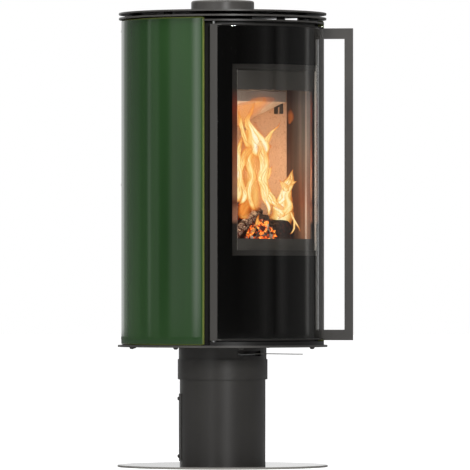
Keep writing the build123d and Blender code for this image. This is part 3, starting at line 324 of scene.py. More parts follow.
# Finishes that follow one texture: name, texture, its sizes, its tones, and what else they have.
PLAIN_FINISHES = (
    # sheet steel with a baked black coat, dull and slightly blotched by heat
    ("black_steel", "TexNoise", {"Scale": 22.0, "Detail": 5.0}, ((0.3, "#1d1c1b"), (0.7, "#332f2c")),
     {"gloss": (0.5, 0.72)}),
    # the firebox shell's steel under a film of fly ash: pale warm grey, quite matt, darker in patches
    ("ash_filmed_steel", "TexNoise", {"Scale": 14.0, "Detail": 6.0}, ((0.3, "#7d7068"), (0.65, "#b5a79c")),
     {"Roughness": 0.95}),
    # zinc-plated sheet steel: a pale grey metal with soft spangle
    ("zinc_plated_steel", "TexVoronoi", {"Scale": 140.0}, ((0.0, "#8b8c8c"), (0.8, "#a3a4a3")),
     {"gloss": (0.32, 0.46), "Metallic": 1.0}),
    # stainless sheet, ground along its length: bright, with fine lines that pull the highlights out
    ("ground_stainless", "TexNoise", {"Scale": 900.0}, ((0.3, "#8f8c87"), (0.7, "#a9a6a0")),
     {"gloss": (0.24, 0.38), "drawn": (1.0, 0.03, 1.0), "Metallic": 1.0, "Anisotropic": 0.5}),
    # drawn brass, darkened by handling: a warm dull yellow
    ("dull_brass", "TexNoise", {"Scale": 60.0, "Detail": 4.0}, ((0.3, "#8a6f3c"), (0.7, "#b3924f")),
     {"gloss": (0.28, 0.42), "Metallic": 1.0}),
    # sand-cast iron: near black, rough and pitted, with grey ash in the hollows
    ("cast_iron", "TexNoise", {"Scale": 420.0, "Detail": 4.0},
     ((0.35, "#23211f"), (0.62, "#37332f"), (0.8, "#6a645d")), {"relief": (0.5, 0.6), "Roughness": 0.78}),
    # black enamel fired on the glass: a dense, smooth black with a soft gloss
    ("black_enamel", "TexNoise", {"Scale": 300.0}, ((0.3, "#020202"), (0.7, "#050505")),
     {"gloss": (0.047, 0.053)}),
    # knitted glass-fibre rope and tape: dark grey, matt, with a fuzzy knit of about 2 mm
    ("fibre_rope", "TexVoronoi", {"Scale": 480.0}, ((0.0, "#55524e"), (0.8, "#2c2a28")),
     {"relief": (0.4, 0.7), "Roughness": 0.95, "Sheen_Weight": 0.3}),
    # fine wood ash: pale warm grey powder, quite matt
    ("wood_ash", "TexNoise", {"Scale": 180.0, "Detail": 6.0}, ((0.3, "#3a322d"), (0.7, "#8d8078")),
     {"relief": (1.2, 0.8), "Roughness": 1.0}),
)
plain = {name: patterned(name, *form, **rest) for name, *form, rest in PLAIN_FINISHES}


def vermiculite(name, flakes, smoke):
    """Pressed vermiculite board: soft flakes, matt, with patches of smoke; the baffle's copy is lighter:
    painted light.
    """
    made, node, place = surface(name, Roughness=0.92)
    flake = node("TexVoronoi", place, Scale=320.0)
    soot = node("TexNoise", place, Scale=11.0, Detail=5.0)
    board = node("ValToRGB", flake, stops=zip((0.0, 0.5, 1.0), flakes))
    stain = node("MapRange", soot, 0.45, 0.8, 0.0, 0.35)
    node("Mix", stain, board, smoke, to="Base Color", data_type="RGBA")
    node("Bump", Height=flake, Distance=0.3 * MM, Strength=0.5, to="Normal")
    return made


def green_glaze():
    """Transparent green glaze on stoneware: wet gloss, deep bottle green, paler at an edge, where it thins
    and has a painted highlight.
    """
    made, node, place = surface("green_glaze", Roughness=0.06, IOR=1.52)
    drawn = node("Mapping", place, Scale=(1.0, 1.0, 0.12))
    pool = node("TexNoise", drawn, Scale=5.0, Detail=3.0)
    depth = node("ValToRGB", pool, stops=((0.32, "#2c4a28"), (0.52, "#375a31"), (0.72, "#426538")))
    # paler at the edges: thin glaze there, and a painted highlight on the rim
    thin = node("Attribute", attribute_name="thin").outputs["Fac"]
    node("Mix", thin, depth, "#a9b35c", to="Base Color", data_type="RGBA")
    # the kiln's fine dimpling, about 6 mm across
    dimple = node("TexNoise", place, Scale=160.0, Detail=1.0)
    node("Bump", Height=dimple, Distance=0.02 * MM, Strength=0.25, to="Normal")
    return made


def clear_sheet(name, tint, roughness, ior):
    """A see-through sheet whose outer face alone mirrors, so that lamps reach the fire behind it."""
    made, node = surface(name, Base_Color="#ffffff", Metallic=1.0, Roughness=roughness)[:2]
    mirror = node("Fresnel", ior)
    inside = node("NewGeometry").outputs["Backfacing"]
    outside = node("Math", 1.0, inside, operation="SUBTRACT")
    share = node("Math", mirror, outside, operation="MULTIPLY")
    clear = node("BsdfTransparent", tint)
    node("MixShader", share, clear, made.node_tree.nodes[SHADER], to="Surface")
    return made


def charred_wood():
    """Wood burnt to charcoal: black checked blocks, white ash on their faces, fire in the deep cracks."""
    made, node, place = surface("charred_wood", Roughness=0.85, Emission_Strength=1.6)
    crack, ash, glow = [node("Attribute", attribute_name=layer).outputs["Fac"]
                        for layer in ("crack", "ash", "glow")]
    grain = node("TexNoise", place, Scale=260.0, Detail=4.0)
    coal = node("ValToRGB", grain, stops=((0.3, "#0d0a09"), (0.7, "#2b1f1b")))
    dusty = node("Math", ash, grain, operation="MULTIPLY")
    cover = node("MapRange", dusty, 0.12, 0.5)
    node("Mix", cover, coal, "#d6cdc5", to="Base Color", data_type="RGBA")
    fire = node("Math", crack, glow, operation="MULTIPLY")
    node("ValToRGB", fire, to="Emission Color",
         stops=((0.1, "#000000"), (0.3, "#4a0d02"), (0.55, "#d9430a"), (0.9, "#ffa63a")))
    node("Bump", Height=grain, Distance=0.6 * MM, Strength=0.8, to="Normal")
    return made


def live_embers():
    """Lumps of burning charcoal: some grey with ash, some black, most lit orange from inside."""
    made, node, place = surface("live_embers", Roughness=0.9, Emission_Strength=2.0)
    warmth = node("Attribute", attribute_name="warmth").outputs["Fac"]
    speck = node("TexNoise", place, Scale=300.0, Detail=4.0)
    node("ValToRGB", warmth, to="Base Color",
         stops=((0.0, "#c9beb4"), (0.18, "#8d827a"), (0.3, "#191312"), (1.0, "#30150c")))
    fire = node("Math", warmth, speck, operation="MULTIPLY")
    node("ValToRGB", fire, to="Emission Color",
         stops=((0.2, "#000000"), (0.28, "#5a1002"), (0.4, "#e8570f"), (0.55, "#ffb450")))
    return made


FLAME_COLOURS = (
    (0.0, "#c8451a"), (0.2, "#ee8632"), (0.4, "#fcba60"),
    (0.6, "#ffde90"), (0.8, "#fff0b8"), (1.0, "#fffbe2"),
)
FLAME_DENSITY = (0.02, 0.0), (0.2, 0.28), (0.45, 0.62), (0.8, 0.92)


def flame():
    """Burning wood gas: clear orange at its skirts, dense yellow in its folds, drawn out in tall streaks."""
    made, node, place = surface(
        "burning_gas", Base_Color="#000000", Roughness=1.0, Specular_IOR_Level=0.0, Emission_Strength=1.25)
    warmth = node("Attribute", attribute_name="warmth").outputs["Fac"]
    drawn = node("Mapping", place, Scale=(1.0, 1.0, 0.16))
    streak = node("TexNoise", drawn, Scale=55.0, Detail=3.0)
    lift = node("MapRange", streak, 0.3, 0.7, 0.6, 1.25)
    shown = node("Math", warmth, lift, operation="MULTIPLY")
    node("ValToRGB", shown, stops=FLAME_COLOURS, to="Emission Color")
    density = node("ValToRGB", shown, stops=FLAME_DENSITY)
    clear = node("BsdfTransparent")
    node("MixShader", density, clear, made.node_tree.nodes[SHADER], to="Surface")
    return made


# ---- mesh making

SHARP_EDGE = radians(38.0)


def turns(count):
    """The angles of a ring of points, in radians."""
    return [tau * step / count for step in range(count)]


def quarter(steps):
    """The angles of a rounded corner, in radians."""
    return [radians(90 * step / steps) for step in range(steps + 1)]


def placed(name, data):
    """An object in the scene for a mesh, a light or a camera."""
    made = bpy.data.objects.new(name, data)
    bpy.context.scene.collection.objects.link(made)
    return made


def piece(name, mesh, material, body, slot, *stands_for):
    """Puts a finished mesh in the scene: its material, its body and the nodes it stands for; slot is not
    used.
    """
    made = placed(name, mesh)
    mesh.materials.clear()
    mesh.materials.append(material)
    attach(made, body)
    if stands_for:
        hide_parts(*stands_for)


def mesh_of(name, shape):
    """The mesh of a bmesh, which it uses up."""
    made = bpy.data.meshes.new(name)
    shape.to_mesh(made)
    shape.free()
    return made


def smoothed(mesh):
    """The same mesh, shaded smooth but for its sharp edges."""
    mesh.shade_smooth()
    mesh.set_sharp_from_angle(angle=SHARP_EDGE)
    return mesh


def loft(name, rings, closed=False, values=None):
    """A skin over rings of points. values holds, for each attribute, one number for each point in turn."""
    count = len(rings[0])
    shape = bmesh.new()
    points = [shape.verts.new(point) for ring in rings for point in ring]
    spans = len(rings) if closed else len(rings) - 1
    for row in range(spans):
        here, there = row * count, (row + 1) % len(rings) * count
        for step in range(count):
            beside = (step + 1) % count
            corners = (here + step, here + beside, there + beside, there + step)
            shape.faces.new([points[corner] for corner in corners])
    if not closed:
        shape.faces.new(points[:count][::-1])
        shape.faces.new(points[-count:])
    bmesh.ops.recalc_face_normals(shape, faces=shape.faces)
    made = mesh_of(name, shape)
    for attribute, numbers in (values or {}).items():
        made.attributes.new(attribute, "FLOAT", "POINT").data.foreach_set("value", numbers)
    return smoothed(made)


def join(name, meshes):
    """One mesh from several, with their attributes."""
    shape = bmesh.new()
    for mesh in meshes:
        shape.from_mesh(mesh)
    return smoothed(mesh_of(name, shape))


def panel_ring(inner, outer, start, end, rounding, height, inset, arc_steps):
    """(radius, angle, height) round a curved panel's section, its two outer corners rounded."""
    outer -= inset
    turn = degrees(1 / outer)          # degrees for each millimetre along the outer face
    start, end = start + inset * turn, end - inset * turn
    corner = quarter(6)
    ring = [(outer - rounding + rounding * sin(a), start + rounding * (1 - cos(a)) * turn) for a in corner]
    first, last = ring[-1][1], end - (ring[-1][1] - start)
    ring += [(outer, first + (last - first) * step / arc_steps) for step in range(1, arc_steps)]
    ring += [(outer - rounding + rounding * cos(a), end - rounding * (1 - sin(a)) * turn) for a in corner]
    ring += [(inner, end - (end - start) * step / arc_steps) for step in range(arc_steps + 1)]
    return [(radius, angle, height) for radius, angle in ring]


def curved_panel(name, inner, outer, start, end, low, high, rounding, arc_steps=96, rises=(), wave=None):
    """A bent plate with rounded outer edges; wave(angle, height) sinks its outer face, in millimetres."""
    corner = quarter(4)
    levels = [(low + rounding * (1 - cos(a)), rounding * (1 - sin(a))) for a in corner]
    levels += [(low + rounding + (high - low - 2 * rounding) * rise, 0.0) for rise in rises]
    levels += [(high - rounding * (1 - sin(a)), rounding * (1 - cos(a))) for a in corner]
    rings = []
    thin = []
    for height, inset in levels:
        ring = []
        for radius, angle, z in panel_ring(inner, outer, start, end, rounding, height, inset, arc_steps):
            on_face = radius > inner + rounding
            sunk = wave(angle, z) if wave and on_face else 0.0
            ring.append(at(radius - sunk, angle, z))
            edge = min(angle - start, end - angle) * radians(outer)
            thin.append(max(0.0, 1.0 - min(edge, high - z, z - low) / EDGE_THINNING))
        rings.append(ring)
    return loft(name, rings, values={"thin": thin})


def glaze_wave(angle, height):
    """The slow hollows in a tall cast panel, deeper along its height than across."""
    place = Vector((angle / RIPPLE_ANGLE, height / RIPPLE_RISE, 0.0))
    return RIPPLE_DEPTH * (noise.noise(place) + 1.0)


def ceramic_panels(material):
    low, high = box_mm("ceramic_panel_right")
    for side, node in ((1, "ceramic_panel_right"), (-1, "ceramic_panel_left")):
        start, end = sorted((side * CERAMIC_START, side * CERAMIC_END))
        mesh = curved_panel(
            f"glazed_{node}", BODY_RADIUS - CERAMIC_WALL, BODY_RADIUS, start, end, low.z, high.z,
            CERAMIC_ROUNDING, arc_steps=110, rises=CERAMIC_RISES, wave=glaze_wave,
        )
        piece(f"glazed_{node}", mesh, material, "stove", "ceramic_glaze", node)


def door_pane(material):
    mesh = curved_panel(
        "door_pane", GLASS_INNER, BODY_RADIUS, -GLASS_HALF_ANGLE, GLASS_HALF_ANGLE,
        GLASS_LOW_CORNER.z, GLASS_HIGH_CORNER.z, GLASS_EDGE, arc_steps=120, rises=PANE_RISES,
    )
    piece("door_pane", mesh, material, "door", "glass_ceramic", "door_glass")


def coat_sheet(material):
    """The coated part of the pane's inner face: the window, inside the black border."""
    outer = GLASS_INNER - PRINT_GAP - PRINT_THICKNESS - COAT_GAP
    half = WINDOW_HALF_ANGLE + COAT_OVERLAP / 4
    mesh = curved_panel(
        "coat_sheet", outer - COAT_THICKNESS, outer, -half, half,
        WINDOW_LOW - COAT_OVERLAP, WINDOW_HIGH + COAT_OVERLAP, COAT_EDGE, rises=PANE_RISES,
    )
    piece("coat_sheet", mesh, material, "door", "glass_ceramic")


def print_sheet(material):
    """The black border behind the glass, open at the window."""
    outer = GLASS_INNER - PRINT_GAP
    span = WINDOW_HALF_ANGLE
    side = [span + (GLASS_HALF_ANGLE - span) * step / 12 for step in range(13)]
    angles = [-a for a in reversed(side)] + [span * (step / 40 - 1) for step in range(1, 80)] + side
    heights = [GLASS_LOW_CORNER.z + GLASS_EDGE, WINDOW_LOW, WINDOW_HIGH, GLASS_HIGH_CORNER.z - GLASS_EDGE]
    shape = bmesh.new()
    rows = [[shape.verts.new(at(outer, angle, height)) for angle in angles] for height in heights]
    for level, (under, over) in enumerate(zip(rows, rows[1:])):
        for step in range(len(angles) - 1):
            middle = (angles[step] + angles[step + 1]) / 2
            if level != 1 or abs(middle) >= span:
                shape.faces.new([under[step], under[step + 1], over[step + 1], over[step]])
    bmesh.ops.recalc_face_normals(shape, faces=shape.faces)
    bmesh.ops.solidify(shape, geom=shape.faces[:], thickness=PRINT_THICKNESS * MM)
    bmesh.ops.recalc_face_normals(shape, faces=shape.faces)
    piece("black_print", smoothed(mesh_of("black_print", shape)), material, "door", "glass_ceramic")


# ---- soft pieces

CORNER_STEPS = 8
BAND_STEP = 2.2  # millimetres along a band between its sections
BAND_SECTION = 18
BAND_CORNER = 1.3  # its bend's radius, of its width
BAND_FLATNESS = 0.7  # 1 is an ellipse, less is nearer to a rectangle


def door_path(half_angle, low, high, corner, radius):
    """(angle, height, arc length) round a curved rectangle with rounded corners, and its whole length."""
    turn = degrees(1 / radius)
    wide = half_angle / turn
    points = []
    for bend, (x_sign, z_end) in enumerate(((1, low), (1, high), (-1, high), (-1, low))):
        centre_x = x_sign * (wide - corner)
        centre_z = z_end + corner if z_end == low else z_end - corner
        for step in range(CORNER_STEPS + 1):
            a = radians(90 * (bend - 1) + 90 * step / CORNER_STEPS)
            points.append((centre_x + corner * cos(a), centre_z + corner * sin(a)))
    dense = []
    length = 0.0
    for (x0, z0), (x1, z1) in zip(points, points[1:] + points[:1]):
        span = hypot(x1 - x0, z1 - z0)
        parts = max(1, round(span / BAND_STEP))
        for part in range(parts):
            share = part / parts
            dense.append(((x0 + (x1 - x0) * share) * turn, z0 + (z1 - z0) * share, length + span * share))
        length += span
    return dense, length


def flattened(reach):
    return copysign(abs(reach) ** BAND_FLATNESS, reach)


def door_band(name, material, node, half_angle, width, inner, outer, plait_depth):
    """A soft band round the door: a flattened round section with the bumps of its plait."""
    low, high = box_mm(node)
    middle = (inner + outer) / 2
    turn = degrees(1 / middle)
    corner = BAND_CORNER * width
    in_from_edge = width / 2
    path, length = door_path(half_angle - in_from_edge * turn, low.z + in_from_edge,
                             high.z - in_from_edge, corner, middle)
    lay = round(length / PLAIT_PITCH)
    rings = []
    for place, (angle, height, run) in enumerate(path):
        before, after = path[place - 1], path[(place + 1) % len(path)]
        across = Vector(((after[0] - before[0]) / turn, after[1] - before[1])).normalized()
        ring = []
        for a in turns(BAND_SECTION):
            plait = abs(sin(lay * pi * run / length + a)) * abs(sin(lay * pi * run / length - a))
            swell = 1.0 - plait_depth * (1.0 - plait)
            flat = flattened(cos(a)) * width / 2 * swell
            deep = flattened(sin(a)) * (outer - inner) / 2 * swell
            ring.append(at(middle + deep, angle + flat * across.y * turn, height - flat * across.x))
        rings.append(ring)
    piece(name, loft(name, rings, closed=True), material, "door", "fibre_rope", node)


def door_soft_parts(material):
    seal_inner = -box_mm("front_frame")[0].y + SEAL_CLEARANCE
    seal_outer = -box_mm("door_seal")[0].y
    door_band("seal_rope", material, "door_seal", SEAL_HALF_ANGLE, SEAL_WIDTH,
              seal_inner, seal_outer, ROPE_PLAIT)
    door_band("glass_tape", material, "glass_gasket", GLASS_HALF_ANGLE, GASKET_WIDTH,
              GLASS_INNER - GLASS_THICKNESS, GLASS_INNER - PRINT_GAP - PRINT_THICKNESS, TAPE_PLAIT)


def felt(material):
    """Felt pads between the casings and the panels."""
    low, high = box_mm("felt_strips")
    casing = box_mm("inner_casing_right")[1].x
    strips = []
    for side in (1, -1):
        for angle in FELT_ANGLES:
            start, end = sorted((side * angle, side * (angle + FELT_ARC)))
            strips.append(curved_panel("strip", casing, casing + FELT_THICKNESS, start, end, low.z, high.z,
                                       FELT_ROUNDING, arc_steps=6))
    piece("felt_pads", join("felt_pads", strips), material, "stove", "fibre_rope", "felt_strips")


# ---- trees that grow pieces

def growth_tree(name, sizes):
    """A Geometry Nodes tree, what adds nodes to it, and its inputs: a geometry and the named sizes."""
    tree = bpy.data.node_groups.new(name, "GeometryNodeTree")
    ends = tree.interface
    ends.new_socket("Geometry", in_out="INPUT", socket_type="NodeSocketGeometry")
    for label, kind, value in sizes:
        ends.new_socket(label, in_out="INPUT", socket_type=f"NodeSocket{kind}").default_value = value
    ends.new_socket("Geometry", in_out="OUTPUT", socket_type="NodeSocketGeometry")
    node = partial(add, tree)
    return tree, node, node("NodeGroupInput").outputs


def end_tree(node, instances, material):
    """The tree's end: its instances made real, in their material."""
    real = node("GeometryNodeRealizeInstances", instances)
    painted = node("GeometryNodeSetMaterial", real, Material=material)
    node("NodeGroupOutput", painted)


def grown(name, seed_mesh, tree, sizes):
    """The plain mesh that a Geometry Nodes tree makes from a seed mesh, with its inputs set in metres."""
    carrier = placed(name, seed_mesh)
    grower = carrier.modifiers.new("growth", "NODES")
    grower.node_group = tree
    for item in tree.interface.items_tree:
        if item.item_type == "SOCKET" and item.in_out == "INPUT" and item.name in sizes:
            grower[item.identifier] = sizes[item.name]
    graph = bpy.context.evaluated_depsgraph_get()
    mesh = bpy.data.meshes.new_from_object(carrier.evaluated_get(graph), depsgraph=graph)
    bpy.data.objects.remove(carrier)
    mesh.name = name
    return smoothed(mesh)


# ---- screws

HEAD_SIDES, HEAD_SEGMENTS, HEAD_RINGS = 28, 3, 5
CROWN_POWER, CROWN_SINK = 3.0, -0.9  # how the crown falls towards its rim
SOCKET_SHARE = 0.4  # of the head's radius
CAD_HEAD_HEIGHT = 2.6


def outward(point):
    return Vector((point.x, point.y, 0.0)).normalized()


def downward(point):
    return Vector((0.0, 0.0, -1.0))


# Each set: its name, the CAD node, the body, the way its heads face, their radius and height.
SCREW_SETS = (
    ("back_panel_screws", "rear_panel_screws", "stove", outward, 5.0, 2.6),
    ("cover_screws", "rear_cover_screws", "pedestal", outward, 4.2, 3.6),
    ("under_plate_screws", "bottom_plate_screws", "stove", downward, 5.6, 4.8),
)


def socket_screw_tree(head_material):
    """Domed heads with a hexagon socket, one on each point, turned to its own outward direction."""
    sizes = (("Head radius", 5.0), ("Head height", CAD_HEAD_HEIGHT), ("Socket radius", 2.0))
    tree, node, given = growth_tree("socket_screws", [(label, "Float", value * MM) for label, value in sizes])
    blank = node("GeometryNodeMeshCylinder", Vertices=HEAD_SIDES, Side_Segments=HEAD_SEGMENTS,
                 Fill_Segments=HEAD_RINGS, Radius=given["Head radius"], Depth=given["Head height"],
                 fill_type="NGON")
    x, y, z = node("SeparateXYZ", node("GeometryNodeInputPosition")).outputs
    flat = node("CombineXYZ", x, y)
    reach = node("VectorMath", flat, operation="LENGTH")
    share = node("Math", reach, given["Head radius"], operation="DIVIDE")
    fall = node("Math", share, CROWN_POWER, operation="POWER")
    # the crown: the upper half sinks towards the rim
    upper = node("Math", z, 0.0, operation="MAXIMUM")
    drop = node("Math", upper, fall, operation="MULTIPLY")
    sink = node("Math", drop, CROWN_SINK, operation="MULTIPLY")
    shift = node("CombineXYZ", Z=sink)
    crown = node("GeometryNodeSetPosition", blank, Offset=shift)
    bore = node("GeometryNodeMeshCylinder", Vertices=6, Radius=given["Socket radius"],
                Depth=given["Head height"], fill_type="NGON")
    half = node("Math", given["Head height"], 0.5, operation="MULTIPLY")
    raised = node("CombineXYZ", Z=half)
    bored = node("GeometryNodeTransform", bore, Translation=raised)
    head = node("GeometryNodeMeshBoolean", crown, bored, operation="DIFFERENCE", solver="EXACT")
    facing = node("GeometryNodeInputNamedAttribute", "facing", data_type="FLOAT_VECTOR")
    turned = node("FunctionNodeAlignRotationToVector", Vector=facing, axis="Z")
    heads = node("GeometryNodeInstanceOnPoints", given["Geometry"], Instance=head, Rotation=turned)
    end_tree(node, heads, head_material)
    return tree


def centres(node):
    """The middle of each loose part of a CAD node."""
    shape = bmesh.new()
    shape.from_mesh(nodes[node].data)
    bmesh.ops.remove_doubles(shape, verts=shape.verts, dist=0.01 * MM)
    found = []
    left = set(shape.verts)
    while left:
        part = set()
        front = [left.pop()]
        while front:
            vertex = front.pop()
            part.add(vertex)
            for edge in vertex.link_edges:
                other = edge.other_vert(vertex)
                if other in left:
                    left.remove(other)
                    front.append(other)
        low, high = [Vector([end(vertex.co[axis] for vertex in part) for axis in range(3)])
                     for end in (min, max)]
        found.append((low + high) / 2)
    shape.free()
    return sorted(found, key=lambda point: [round(part, 4) for part in point.zxy])


def screws(material):
    tree = socket_screw_tree(material)
    for name, node, body, direction, radius, height in SCREW_SETS:
        sizes = {"Head radius": radius * MM, "Head height": height * MM,
                 "Socket radius": SOCKET_SHARE * radius * MM}
        seed = bpy.data.meshes.new(f"{name}_places")
        rise = (height - CAD_HEAD_HEIGHT) / 2 * MM
        places = [place + direction(place) * rise for place in centres(node)]
        seed.from_pydata(places, [], [])
        facing = seed.attributes.new("facing", "FLOAT_VECTOR", "POINT")
        facing.data.foreach_set("vector", [part for place in places for part in direction(place)])
        piece(name, grown(name, seed, tree, sizes), material, body, "steel_paint", node)


# ---- firewood and embers

FLOOR_TOP = 520.0
# Each log: two ends as (x, y, z), radius at each, how much ash lies on it, how much it glows, the size of its
# checks round it and along it, and how far a knob on its upper side swells, as a share of its radius.
LOGS = (
    ("log_left", (-76.0, -104.0, 549.5), (-62.0, 70.0, 549.5), (27.5, 28.5), 0.35, 0.45, (12.0, 14.0), 0.0),
    ("log_right", (92.0, -124.0, 554.0), (80.0, 46.0, 556.0), (31.5, 35.0), 0.3, 0.3, (12.0, 12.0), 0.5),
    ("log_across", (-104.0, -52.0, 603.3), (88.0, 20.0, 608.0), (24.5, 24.5), 0.15, 0.7, (11.0, 14.0), 0.0),
    ("billet", (-26.6, -53.4, 535.0), (90.6, -29.0, 610.0), (15.5, 14.0), 1.0, 0.4, (16.0, 6.0), 0.0),
)
CHECK_WIDTH = 0.18  # of a check's size
CHECK_DEPTH = 2.4
LUMP_SIZE, LUMP_DEPTH = 34.0, 2.6
KNOB_PLACE, KNOB_REACH = 72.0, 42.0  # along the log, from its first end
LOG_SECTION, LOG_STATIONS = 96, 110
END_RUN, END_ROUGHNESS = 4.5, 2.0
ASH_OVER, ASH_UNDER = 1.2, 0.6  # how much of its ash a log carries on its upper faces and under it
# How a log's ends close: (millimetres from the end, share of the radius).
END_RINGS = [(0.0, 0.001), (0.0, 0.35), (0.3, 0.65), (0.8, 0.86), (2.2, 0.965)]


def burnt_log(name, near, far, radii, ash_level, glow_level, check, knob):
    """A log cracked into charcoal blocks, with rough broken ends."""
    start, end = Vector(near) * MM, Vector(far) * MM
    axis = (end - start).normalized()
    side = axis.cross(UP).normalized()
    over = side.cross(axis)
    length = (end - start).length / MM
    stations = END_RINGS + [
        (END_RUN + (length - 2 * END_RUN) * step / LOG_STATIONS, 1.0) for step in range(LOG_STATIONS + 1)
    ] + [(length - run, share) for run, share in reversed(END_RINGS)]
    rings = []
    crack, ash, glow = [], [], []
    seed = Vector((radii[0] * 3.7, length * 0.31, radii[1] + length))
    for run, share in stations:
        radius = (radii[0] + (radii[1] - radii[0]) * run / length) * share
        swell = knob * 2.0 ** (-(((run - KNOB_PLACE) / KNOB_REACH) ** 2))
        ring = []
        for a in turns(LOG_SECTION):
            out = side * cos(a) + over * sin(a)
            skin = Vector((cos(a) * radius / check[0], sin(a) * radius / check[0], run / check[1])) + seed
            distances = noise.voronoi(skin)[0]
            block = min(1.0, (distances[1] - distances[0]) / CHECK_WIDTH)
            lump = noise.fractal((out * radius + axis * run) / LUMP_SIZE + seed, 1.0, 2.0, 3)
            sunk = CHECK_DEPTH * (1.0 - block) - LUMP_DEPTH * lump
            reach = max(0.0, radius - (sunk + LUMP_DEPTH) * min(1.0, share))
            reach *= 1.0 + swell * max(0.0, sin(a))
            rough_end = END_ROUGHNESS * noise.noise(skin * 1.3) if share < 0.99 else 0.0
            ring.append(start + (out * reach + axis * (run + rough_end)) * MM)
            crack.append(1.0 - block)
            # ash settles on the upper faces; ash and glow wander over two or three checks
            dusting = 0.5 + 0.5 * noise.noise(skin * 0.6)
            ash.append(ash_level * block * dusting * (ASH_OVER if out.z > -0.2 else ASH_UNDER))
            glow.append(glow_level * (0.7 + 0.5 * noise.noise(skin * 0.35)))
        rings.append(ring)
    return loft(name, rings, values={"crack": crack, "ash": ash, "glow": glow})


def firewood(material):
    meshes = [burnt_log(*log) for log in LOGS]
    piece("burning_logs", join("burning_logs", meshes), material, "stove", "log_wood", "firewood")


# The ember heap: its middle, half width, half depth and height, in the camera's terms.
HEAP_MIDDLE = (90.0, -70.0)
HEAP_REACH = (40.0, 48.0)
HEAP_HEIGHT = 60.0
HEAP_SPOKES, HEAP_HOOPS = 72, 16
HEAP_GAP = 0.2  # over the floor bricks
HEAP_BUMP, HEAP_BUMP_SIZE = 0.35, 22.0
LUMP_RADIUS = 7.5
LUMP_DENT = 2.2  # of a lump's radius
LUMPS_PER_SQUARE_METRE = 30000.0


def heap_height(across, depth):
    """The heap's height over the floor bricks, falling to nothing at its edge."""
    share = hypot((across - HEAP_MIDDLE[0]) / HEAP_REACH[0], (depth - HEAP_MIDDLE[1]) / HEAP_REACH[1])
    bumps = 1.0 + HEAP_BUMP * noise.noise(Vector((across, depth, 0.0)) / HEAP_BUMP_SIZE)
    return HEAP_HEIGHT * max(0.0, 1.0 - share * share) * bumps


def ash_heap(material):
    """A low mound of ash on the floor bricks, closed underneath."""
    rings = []
    foot = FLOOR_TOP + HEAP_GAP
    for hoop in range(HEAP_HOOPS + 1):
        reach = 1.0 - hoop / HEAP_HOOPS * 0.999
        ring = []
        for a in turns(HEAP_SPOKES):
            across = HEAP_MIDDLE[0] + HEAP_REACH[0] * reach * cos(a)
            depth = HEAP_MIDDLE[1] + HEAP_REACH[1] * reach * sin(a)
            ring.append(spot(across, depth, foot + heap_height(across, depth)))
        rings.append(ring)
    mesh = loft("ash_heap", rings)
    piece("ash_heap", mesh, material, "stove", "log_wood")
    return mesh


def ember_tree(ember_material):
    """Angular lumps of charcoal strewn over a mound, each with its own size, turn and heat."""
    tree, node, given = growth_tree("strewn_embers", (
        ("Lump radius", "Float", LUMP_RADIUS * MM),
        ("Lumps per square metre", "Float", LUMPS_PER_SQUARE_METRE), ("Seed", "Int", 7)))
    lift = node("SeparateXYZ", node("GeometryNodeInputNormal")).outputs[2]
    on_top = node("FunctionNodeCompare", lift, 0.2, operation="GREATER_THAN")
    strewn = node("GeometryNodeDistributePointsOnFaces", given["Geometry"], Selection=on_top,
                  Density=given["Lumps per square metre"], Seed=given["Seed"])
    lump = node("GeometryNodeMeshIcoSphere", Radius=given["Lump radius"], Subdivisions=2)
    dent = node("TexNoise", Scale=160.0, Detail=1.0).outputs["Color"]
    centred = node("VectorMath", dent, (0.5, 0.5, 0.5), operation="SUBTRACT")
    pushed = node("VectorMath", centred, LUMP_DENT * LUMP_RADIUS * MM, operation="SCALE")
    rough = node("GeometryNodeSetPosition", lump, Offset=pushed)
    turn = node("FunctionNodeRandomValue", Max=(tau, tau, tau), Seed=3, data_type="FLOAT_VECTOR")
    size = node("FunctionNodeRandomValue", (0.4, 0.4, 0.35), (1.25, 0.95, 0.8), Seed=5,
                data_type="FLOAT_VECTOR")
    lumps = node("GeometryNodeInstanceOnPoints", strewn, Instance=rough, Rotation=turn, Scale=size)
    warmth = node("FunctionNodeRandomValue", 0.0, 1.0, Seed=11, data_type="FLOAT")
    warmed = node("GeometryNodeStoreNamedAttribute", lumps, Name="warmth", Value=warmth,
                  data_type="FLOAT", domain="INSTANCE")
    end_tree(node, warmed, ember_material)
    return tree


def embers(material, heap):
    lumps = grown("ember_lumps", heap.copy(), ember_tree(material), {})
    piece("ember_lumps", lumps, material, "stove", "log_wood")


# ---- flames

